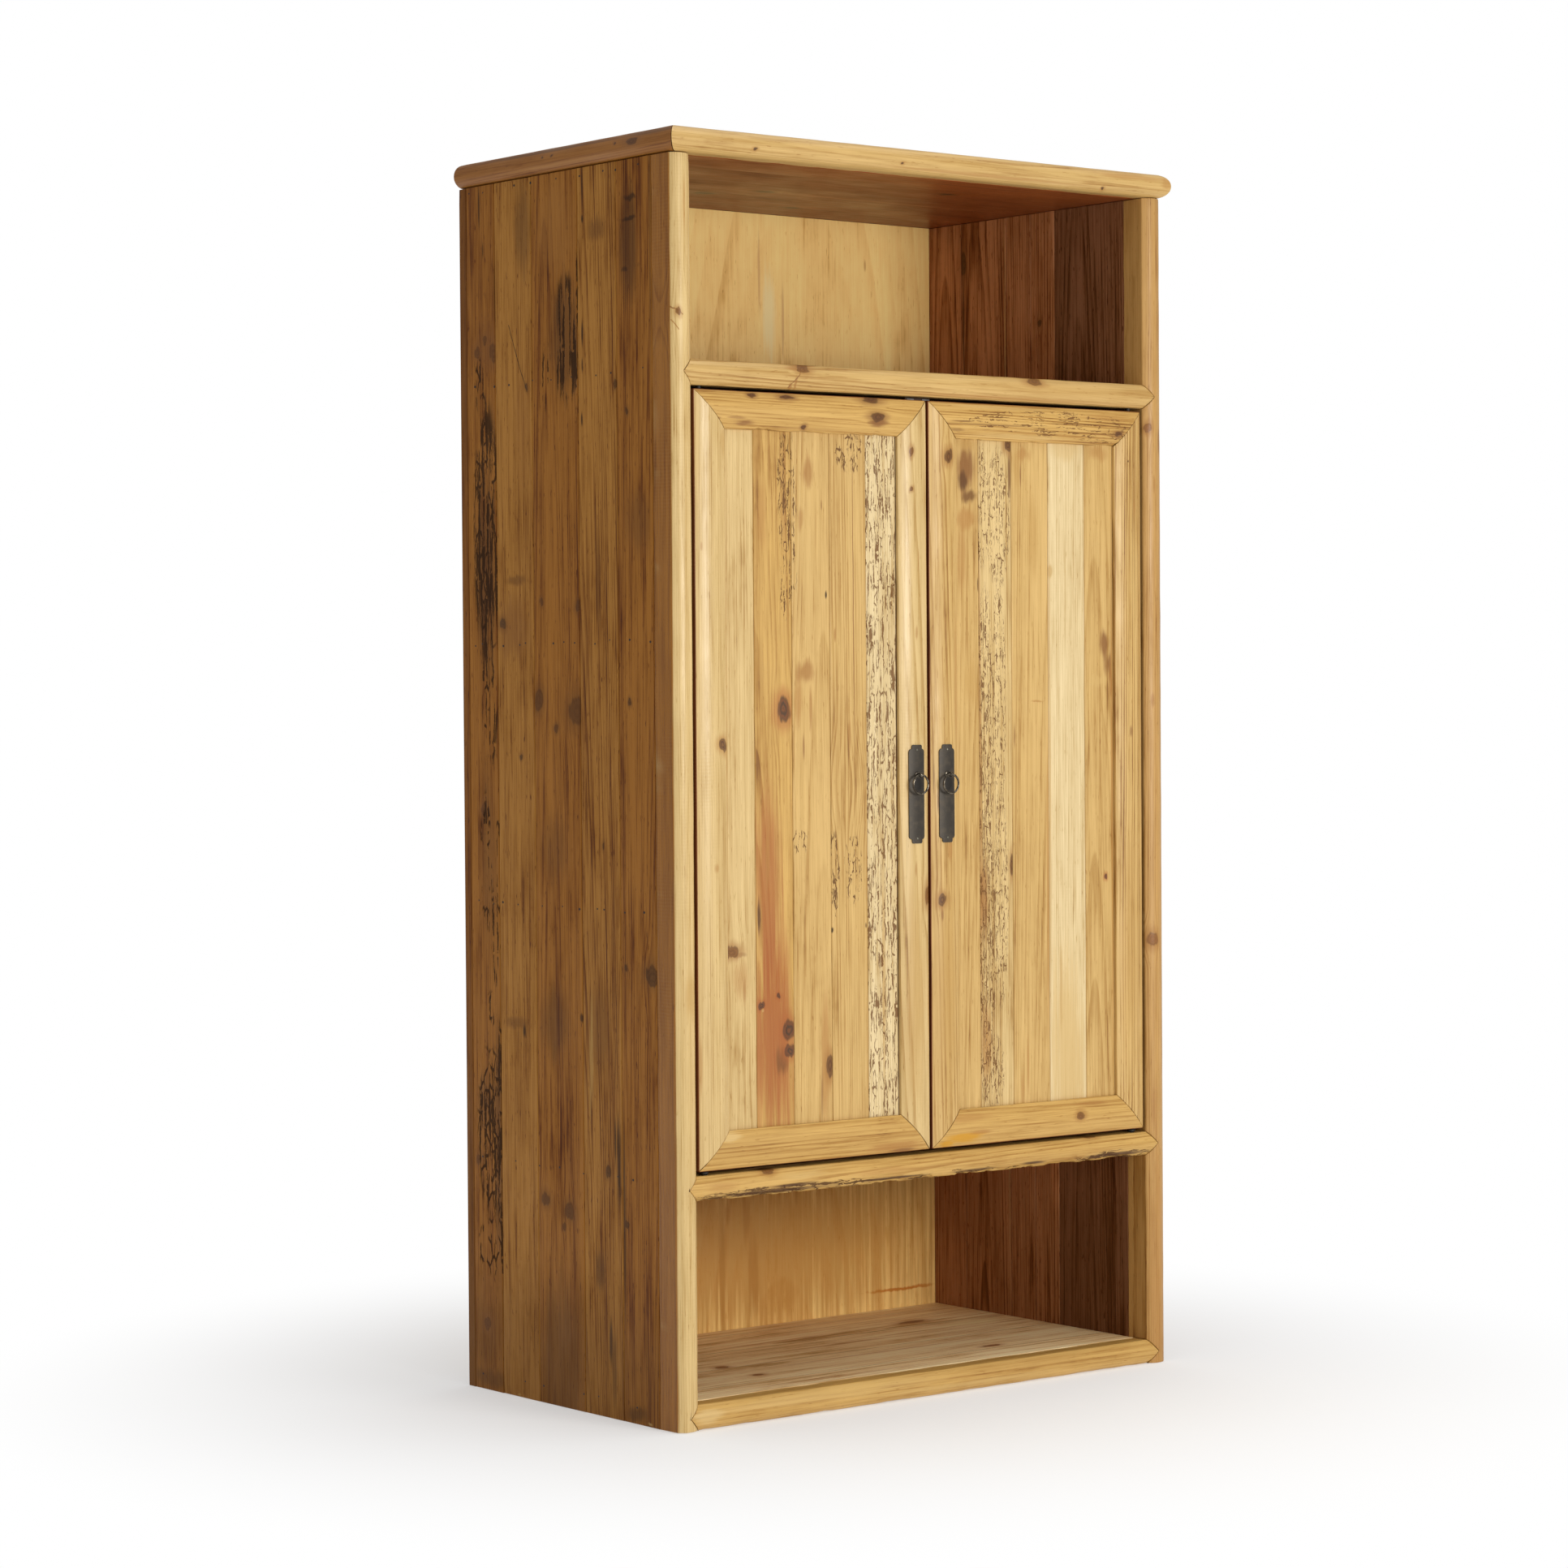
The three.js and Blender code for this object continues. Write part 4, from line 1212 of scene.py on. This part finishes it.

# %% [markdown]
# The right door's frame is more weathered: its outer stile shows deep ridged grain,
# its top rail is combed by fine dark lines and old tunnels, and a bright patch of
# resin has bled into the lower corner nearest the middle.
# %% Right door frame
# Each flank on these bars is an edge facing a door gap, painted dark as painted shade.
RIGHT_FRAME = {
    "right_door_inner_stile": dict(
        flanks=[("-across", GAP_SHADE_BROWN)], code=HONEY_PINE, pith=(-50, 50), lean=(8, 20), ring=5.0,
        figure=0.8, knots=[(39, 1513, 9, 10), (22, 798, 8, 9)], core=BARK, halo=TAN,
        stains=[
            (8, 1005, 1.5, 45, UMBER, 0.85), (15, 965, 1.5, 26, UMBER, 0.8),
            (38, 880, 7, 22, GINGER, 0.6), (30, 650, 28, 180, WAX, 0.5),
            (56, 1150, 5, 150, GINGER, 0.5), (12, 1030, 8, 60, STRAW, 0.6),
            (22, 775, 3, 10, RUSSET, 0.6),
        ],
    ),
    "right_door_outer_stile": dict(
        flanks=[("+across", GAP_SHADE_BROWN)], code=HONEY_PINE, pith=(70, 16), ring=5.2, figure=1.5,
        streak=0.7,
        stains=[
            (436, 1517, 2, 3, BARK, 0.8), (450, 1440, 3, 20, GINGER, 0.5),
            (440, 1066, 4, 12, RUSSET, 0.6), (440, 700, 30, 200, WAX, 0.4),
            (446, 1340, 8, 120, STRAW, 0.5),
        ],
    ),
    "right_door_top_rail": dict(
        flanks=[("+across", GAP_SHADE_BROWN)], code=AMBER_PINE, pith=(-50, 60), lean=(1, 14), ring=3.0,
        figure=1.3, streak=0.9, mottle=0.6, knots=[(1562, 414, 4, 8)], core=BARK, halo=RUSSET,
        tracks=[(1577, 270, 22, 210, 0.9, 0.1), (1560, 380, 12, 60, 0.9, 0.2)], tunnel=UMBER,
        coarse=0.85,
        stains=[
            (1567, 120, 1.6, 110, UMBER, 0.6), (1571, 70, 1.5, 24, UMBER, 0.7),
            (1575, 330, 1.6, 90, UMBER, 0.6), (1550, 200, 5, 120, STRAW, 0.6),
            (1596, 150, 3, 120, STRAW, 0.5), (1557, 60, 3, 20, UMBER, 0.5),
            (1588, 390, 8, 70, GINGER, 0.4),
        ],
    ),
    "right_door_bottom_rail": dict(
        flanks=[("-across", GAP_SHADE_BROWN)], code=AMBER_PINE, pith=(-60, 80), lean=(2, 10), ring=4.0,
        figure=0.6, knots=[(430, 322, 6, 7)], core=UMBER, halo=TAN,
        stains=[
            (412, 70, 9, 40, RESIN, 0.85), (404, 32, 6, 16, RESIN, 0.85),
            (419, 100, 4, 26, GINGER, 0.6), (448, 350, 5, 50, TAN, 0.6),
            (444, 70, 8, 60, GINGER, 0.45),
        ],
    ),
}
make_door_frame(RIGHT_FRAME)
print("right frame:", list(RIGHT_FRAME))

# %% [markdown]
# ## The door panels
# Five old boards fill each door, glued side by side a little back from the frame.
# They are the show pieces: a cream board riddled with tunnels from top to bottom, a
# red heartwood board with blue-black knots, and plain golden ones to rest the eye.
# %% Left panel boards
LEFT_PANEL = {
    "left_panel_board_1": dict(
        code=CREAM_PINE, pith=(80, 30), ring=3.6, figure=0.6, streak=0.4,
        tracks=[(-94, 1000, 62, 900, 1.12, 0.3)], tunnel=UMBER,
        stains=[(-62, 1000, 2.2, 900, BARK, 0.9), (-92, 700, 4, 240, WAX, 0.6)],
    ),
    "left_panel_board_2": dict(
        code=HONEY_PINE, pith=(-70, 40), lean=(3, 10), ring=4.6, figure=0.75, streak=0.5, sway=14,
        swirls=[(-168, 985, 24, 18)],
        tracks=[
            (-152, 1518, 34, 34, 0.8, 0.6), (-190, 850, 13, 75, 1.1, 0.3),
            (-150, 860, 20, 60, 0.7, 0.4),
        ],
        stains=[
            (-150, 1250, 1.3, 320, RUSSET, 0.7), (-197, 760, 2, 5, SOOT, 0.9),
            (-200, 950, 3, 20, BARK, 0.8), (-160, 1065, 4, 30, TAN, 0.55),
            (-188, 1225, 2.5, 12, TAN, 0.6), (-150, 590, 22, 130, STRAW, 0.4),
            (-128, 765, 2, 5, BARK, 0.8),
        ],
    ),
    "left_panel_board_3": dict(
        code=HONEY_PINE, pith=(20, 90), lean=(4, 16), ring=4.4, figure=0.6, mottle=0.6,
        knots=[(-204, 545, 7, 16)], core=BARK, halo=TAN,
        tracks=[(-268, 1400, 9, 150, 0.9, 0.2), (-258, 905, 16, 22, 0.3, 0.6)],
        stains=[
            (-241, 1480, 13, 26, TAN, 0.7), (-250, 1168, 22, 20, TAN, 0.7),
            (-262, 1120, 12, 45, GINGER, 0.55), (-238, 1110, 4, 40, TAN, 0.6),
            (-206, 1289, 2.4, 7, SOOT, 0.95), (-214, 1430, 2, 10, RUSSET, 0.6),
            (-248, 1350, 26, 120, STRAW, 0.4), (-212, 560, 14, 110, GINGER, 0.65),
            (-220, 500, 3, 50, RUSSET, 0.6), (-256, 1405, 8, 22, TAN, 0.5),
            (-253, 1050, 3, 24, RUSSET, 0.6),
        ],
    ),
    "left_panel_board_4": dict(
        code=AMBER_PINE, pith=(-40, 50), lean=(5, 20), ring=4.0, figure=0.8, streak=0.6,
        mottle=0.6,
        knots=[
            (-292, 1108, 13, 18), (-340, 649, 6, 6), (-305, 659, 4, 4), (-285, 606, 13, 17),
            (-283, 574, 11, 10),
        ],
        core=INK, halo=HEARTWOOD,
        tracks=[(-284, 1450, 17, 105, 1.1, 0.5), (-284, 1310, 12, 60, 0.8, 0.3)], coarse=0.85,
        stains=[
            (-312, 600, 50, 190, HEARTWOOD, 0.85), (-325, 820, 28, 190, HEARTWOOD, 0.7),
            (-326, 880, 5, 60, GINGER, 0.7), (-337, 1180, 7, 60, WAX, 0.7),
            (-344, 785, 4, 34, BARK, 0.85), (-300, 560, 16, 26, UMBER, 0.7),
            (-335, 1410, 10, 60, GINGER, 0.5), (-290, 1440, 6, 100, TAN, 0.4),
            (-338, 640, 3, 4, STRAW, 0.8),
        ],
    ),
    "left_panel_board_5": dict(
        code=STRAW_PINE, pith=(90, 30), ring=3.6, figure=0.6, knots=[(-399, 735, 15, 8)],
        core=UMBER, halo=TAN,
        stains=[
            (-382, 728, 16, 5, RUSSET, 0.5), (-380, 690, 22, 34, GINGER, 0.45),
            (-374, 670, 4, 28, TAN, 0.5), (-407, 1050, 3, 500, GINGER, 0.5),
        ],
    ),
}


def make_panel(boards):
    for node, choice in boards.items():
        finish = old_pine(node, "z", "x", **choice)
        worked(node, finish, "z", step=22, ease=0.5, wear=0.3)


make_panel(LEFT_PANEL)
print("left panel boards:", len(LEFT_PANEL))

# %% Right panel boards
RIGHT_PANEL = {
    "right_panel_board_1": dict(
        code=HONEY_PINE, pith=(30, 60), lean=(4, 14), ring=3.6, figure=0.7,
        swirls=[(84, 1497, 16, 18)],
        stains=[
            (89, 1496, 26, 42, RUSSET, 0.85), (96, 1452, 20, 13, UMBER, 0.85),
            (82, 1478, 12, 16, BARK, 0.7), (90, 1415, 26, 20, GINGER, 0.6),
            (78, 1350, 10, 60, GINGER, 0.4), (112, 1308, 1.6, 12, BARK, 0.8),
            (98, 1150, 16, 40, WAX, 0.5), (88, 1535, 22, 12, WAX, 0.7),
        ],
    ),
    "right_panel_board_2": dict(
        code=STRAW_PINE, pith=(-60, 40), ring=3.8, figure=0.8, streak=0.7, mottle=0.6,
        knots=[(180, 1537, 8, 9), (183, 846, 4, 16)], core=BARK, halo=TAN,
        tracks=[
            (125, 1440, 16, 110, 0.9, 0.4), (160, 1420, 28, 120, 0.95, 0.4),
            (130, 1080, 20, 240, 1.15, 0.45), (160, 1130, 16, 210, 0.9, 0.4),
            (132, 740, 22, 200, 1.25, 0.5), (162, 800, 18, 190, 1.0, 0.4),
            (140, 520, 30, 66, 1.1, 0.5),
        ],
        tunnel=UMBER, coarse=0.7,
        stains=[
            (122, 800, 12, 70, TAN, 0.75), (182, 1490, 4, 40, UMBER, 0.8),
            (125, 560, 14, 70, GINGER, 0.6), (116, 1000, 2, 540, GINGER, 0.6),
            (164, 1320, 12, 120, CREAM, 0.5),
        ],
    ),
    "right_panel_board_3": dict(
        code=HONEY_PINE, pith=(50, 70), lean=(3, 14), ring=4.2, figure=0.7, mottle=0.6,
        stains=[
            (198, 1500, 9, 45, WAX, 0.65), (206, 1488, 2, 24, RUSSET, 0.7),
            (212, 1522, 16, 14, GINGER, 0.6), (232, 1390, 14, 80, WAX, 0.5),
            (190, 1060, 3, 26, RUSSET, 0.6), (240, 1118, 16, 2, GINGER, 0.6),
            (216, 520, 3, 60, GINGER, 0.55), (204, 480, 5, 40, GINGER, 0.5),
            (262, 800, 3, 260, GINGER, 0.5),
        ],
    ),
    "right_panel_board_4": dict(
        code=CREAM_PINE, pith=(100, 40), ring=4.8, figure=0.5, streak=0.4, ripple=0.3,
        stains=[
            (306, 520, 44, 190, STRAW, 0.7), (290, 640, 3, 90, WAX, 0.55),
            (270, 1330, 8, 12, WAX, 0.6), (306, 1535, 40, 22, STRAW, 0.5),
            (268, 1000, 3, 540, WAX, 0.5),
        ],
    ),
    "right_panel_board_5": dict(
        code=HONEY_PINE, pith=(-20, 70), lean=(5, 18), ring=4.0, figure=0.8,
        knots=[(392, 823, 3, 4)], swirls=[(414, 1150, 22, 26)],
        stains=[
            (392, 1212, 15, 26, RUSSET, 0.85), (400, 1178, 10, 28, RUSSET, 0.85),
            (404, 1150, 6, 30, TAN, 0.7), (378, 1150, 26, 14, STRAW, 0.5),
            (408, 1000, 3, 540, GINGER, 0.6), (380, 1530, 24, 16, GINGER, 0.5),
        ],
    ),
}
make_panel(RIGHT_PANEL)
print("right panel boards:", len(RIGHT_PANEL))

# %% [markdown]
# ## Dark bronze
# The pulls are stamped plates with a ring, in a dark brown-black finish made to look
# like old bronze. Such a finish is metal under a thin patina: half dull, with warm
# rubbed edges, and never quite even. A mix of metal and dull brown by cloudy noise
# gives that, and the ring is kept smoother, since hands polish it. A dark disc painted
# on each plate right behind its ring is a painted shadow of the ring.
# %% Metal finishes
# The dark tone of the ring's painted shadow on its plate.
RING_SHADOW_TONE = "#1c1814"


def patina(name, dark, rubbed, dull, metal, rest=None):
    finish = bpy.data.materials.new(name)
    finish.use_nodes = True
    bench = Bench(finish.node_tree)
    place = bench.lay("TexCoord", {}, {}, "Object")
    cloudy = bench.cloud(place, (90.0, 90.0, 90.0), 3.0, 0.6)
    grit = bench.cloud(place, (900.0, 900.0, 900.0), 2.0)
    worn = bench.rise(cloudy, 0.42, 0.72)
    colour = bench.mix(worn * 0.6, tone(dark), tone(rubbed))
    # rest gives the centre and radius of the ring's painted shadow, a darker disc on the plate.
    if rest:
        centre, radius = rest
        away = bench.lay("VectorMath", {"operation": "DISTANCE"}, {0: place, 1: centre}, "Value")
        ring_shadow_mask = bench.rise(away, radius, 0.7 * radius, 0.0, 0.8)
        colour = bench.mix(ring_shadow_mask, colour, tone(RING_SHADOW_TONE))
    height = cloudy * 0.25 + grit * 0.05
    surface = {
        "Base Color": colour,
        "Metallic": metal,
        "Roughness": dull + cloudy * 0.2 - grit * 0.08,
        "Normal": bench.lay("Bump", {}, {"Strength": 0.4, "Distance": MM, "Height": height}),
    }
    bench.lay("OutputMaterial", {}, {0: bench.lay("BsdfPrincipled", {}, surface)})
    return finish


RING_FINISH = patina("bronze_ring", "#4a443c", "#b4a894", 0.16, 1.0)
PIN_FINISH = patina("plate_pin", "#6d6a5c", "#8f8c7c", 0.25, 0.9)
# The pivots are dark steel, painted darker still as painted shade of the door gaps they sit in.
PIVOT_FINISH = patina("gap_darkened_steel", "#2a2724", "#403b36", 0.5, 0.6)
STEEL_FINISH = patina("plain_steel", "#8d8d8a", "#b3b2ae", 0.24, 1.0)
PLASTIC_FINISH = patina("brown_catch", "#4a3328", "#59402f", 0.42, 0.0)

# %% [markdown]
# ## The pulls
# The plates are thin stampings with stepped ends, so a hair of a bevel is all their
# edges need. Two domed pins hold each plate. The ring is a round wire: the frame's
# solid is faceted, so a fine smooth ring of the same size stands for it.
# %% Plates and pins
def round_pin(name, centre, radius, rise, finish, body):
    """A low dome facing the front."""
    mesh = bmesh.new()
    bmesh.ops.create_uvsphere(mesh, u_segments=20, v_segments=12, radius=1.0)
    back = [vertex for vertex in mesh.verts if vertex.co.z < -0.01]
    bmesh.ops.delete(mesh, geom=back, context="VERTS")
    rim = [edge for edge in mesh.edges if edge.is_boundary]
    bmesh.ops.holes_fill(mesh, edges=rim)
    squash = Matrix.Diagonal((radius * MM, radius * MM, rise * MM, 1))
    turn = Matrix.Rotation(math.pi / 2, 4, "X")
    mesh.transform(Matrix.Translation(centre) @ turn @ squash)
    data = bpy.data.meshes.new(name)
    mesh.to_mesh(data)
    mesh.free()
    data.materials.append(finish)
    data.polygons.foreach_set("use_smooth", [True] * len(data.polygons))
    piece = bpy.data.objects.new(name, data)
    scene.collection.objects.link(piece)
    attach(piece, body)
    return piece


PIN_REACH = 71
PIN_RADIUS, PIN_RISE, PIN_SEAT = 1.7, 0.9, 0.25
for side in ("left", "right"):
    plate = side + "_pull_plate"
    ring_low, ring_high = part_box(side + "_ring")
    # Centre and radius of the ring's painted shadow on the plate.
    rest = ((ring_low + ring_high) / 2, (ring_high.x - ring_low.x) / 2)
    plate_finish = patina(side + "_bronze_plate", "#3a342c", "#504638", 0.4, 0.5, rest)
    worked(plate, plate_finish, "z", step=40, ease=0.35, wear=0.0)
    eye = side + "_pull_eye"
    worked(eye, RING_FINISH, "z", step=40, ease=0.2, wear=0.0)
    low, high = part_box(plate)
    middle = (low + high) / 2
    for end, sign in (("top", 1), ("bottom", -1)):
        centre = Vector((middle.x, low.y + PIN_SEAT * MM, middle.z + sign * PIN_REACH * MM))
        name = f"{side}_plate_{end}_pin"
        round_pin(
            name, centre, PIN_RADIUS, PIN_RISE, PIN_FINISH, BODY_OF[plate]
        )
    print(side, "plate from", tuple(round(part, 3) for part in low))

# %% Rings
RING_TURNS, RING_SIDES = 96, 20
WIRE_SHARE, WIRE_WEAR = 0.985, 0.05


def smooth_ring(node, finish):
    """A round wire ring the size of its faceted solid, thinned a little by wear."""
    low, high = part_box(node)
    middle = (low + high) / 2
    wire = (high.y - low.y) / 2
    radius = (high.x - low.x) / 2 - wire
    mesh = bmesh.new()
    rows = []
    for step in range(RING_TURNS):
        angle = 2 * math.pi * step / RING_TURNS
        thin = wire * (WIRE_SHARE - WIRE_WEAR * max(0.0, math.sin(angle)) ** 8)
        row = []
        for side in range(RING_SIDES):
            lap = 2 * math.pi * side / RING_SIDES
            out = radius + thin * math.cos(lap)
            place = (math.cos(angle) * out, thin * math.sin(lap), math.sin(angle) * out)
            row.append(mesh.verts.new(middle + Vector(place)))
        rows.append(row)
    for step in range(RING_TURNS):
        near, far = rows[step], rows[(step + 1) % RING_TURNS]
        for side in range(RING_SIDES):
            after = (side + 1) % RING_SIDES
            mesh.faces.new((near[side], near[after], far[after], far[side]))
    bmesh.ops.recalc_face_normals(mesh, faces=mesh.faces)
    return finished(mesh, node, finish)


for side in ("left", "right"):
    ring = smooth_ring(side + "_ring", RING_FINISH)
    print(ring.name, len(ring.data.polygons), "faces")

# %% [markdown]
# ## Pins, catch and strikes
# Small parts inside the doors are only seen when a door stands open: the steel pivots
# in the rails, a moulded roller catch under the upper rail, and a steel strike on
# each door. They keep the frame's shapes, with eased edges and their own finishes.
# %% Small parts
for side in ("left", "right"):
    for end in ("bottom", "top"):
        worked(f"{side}_{end}_pivot_pin", PIVOT_FINISH, "z", 40, 0.2, 0.0)
    worked(side + "_door_strike", STEEL_FINISH, "z", 40, 0.2, 0.0)
worked("double_catch", PLASTIC_FINISH, "x", 40, 0.6, 0.0)
print("small parts made")

# %% [markdown]
# ## Nail heads
# Rows of small nails pin the left side to its shelves and rails. Their heads sit in
# little dark holes. Cutting real holes would crowd the boards with tiny faces, so
# each nail is a low dark dome pressed almost flush with the wood. Each row runs along
# the board that it holds, and the nails along it are unevenly spaced, as they are when
# driven by eye.
# %% Nails
NAIL_ROWS = {
    "top_panel": 9,
    "upper_shelf": 9,
    "upper_inner_shelf": 12,
    "lower_inner_shelf": 11,
    "lower_shelf": 7,
    "floor_board": 6,
}
TOP_NAIL_DROP = 12
NAIL_SIDES = 12
NAIL_SIZES = (1.6, 2.6)
NAIL_RISE, NAIL_ROOT = 0.25, 0.4
NAIL_FINISH = patina("nail_head", "#1c120b", "#33231a", 0.5, 0.3)


def nail_heads(name, surface, finish):
    """All the heads of one side in one mesh of low domes facing -X."""
    mesh = bmesh.new()
    luck = random.Random(name)
    front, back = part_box("left_front_post")[1].y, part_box("left_rear_post")[1].y
    for board, count in NAIL_ROWS.items():
        low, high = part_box(board)
        height = (low.z + high.z) / 2
        if board == "top_panel":
            height = low.z - TOP_NAIL_DROP * MM
        for number in range(count):
            share = (number + luck.uniform(0.1, 0.9)) / count
            place = front + (back - front) * share
            size = luck.uniform(*NAIL_SIZES)
            z = height + luck.uniform(-3, 3) * MM
            centre = Vector((surface, place, z))
            ring = []
            for step in range(NAIL_SIDES):
                angle = 2 * math.pi * step / NAIL_SIDES
                arm = Vector((0, math.cos(angle), math.sin(angle) * 0.8))
                ring.append(mesh.verts.new(centre + arm * size * MM))
            tip = mesh.verts.new(centre + Vector((-NAIL_RISE * MM, 0, 0)))
            root = mesh.verts.new(centre + Vector((NAIL_ROOT * MM, 0, 0)))
            for step in range(NAIL_SIDES):
                after = (step + 1) % NAIL_SIDES
                mesh.faces.new((ring[step], tip, ring[after]))
                mesh.faces.new((ring[after], root, ring[step]))
    bmesh.ops.recalc_face_normals(mesh, faces=mesh.faces)
    data = bpy.data.meshes.new(name)
    mesh.to_mesh(data)
    mesh.free()
    data.materials.append(finish)
    piece = bpy.data.objects.new(name, data)
    scene.collection.objects.link(piece)
    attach(piece, "carcass")
    return piece


side_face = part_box("left_side_board_3")[0].x
nails = nail_heads("left_side_nails", side_face, NAIL_FINISH)
print("nail heads:", sum(NAIL_ROWS.values()))
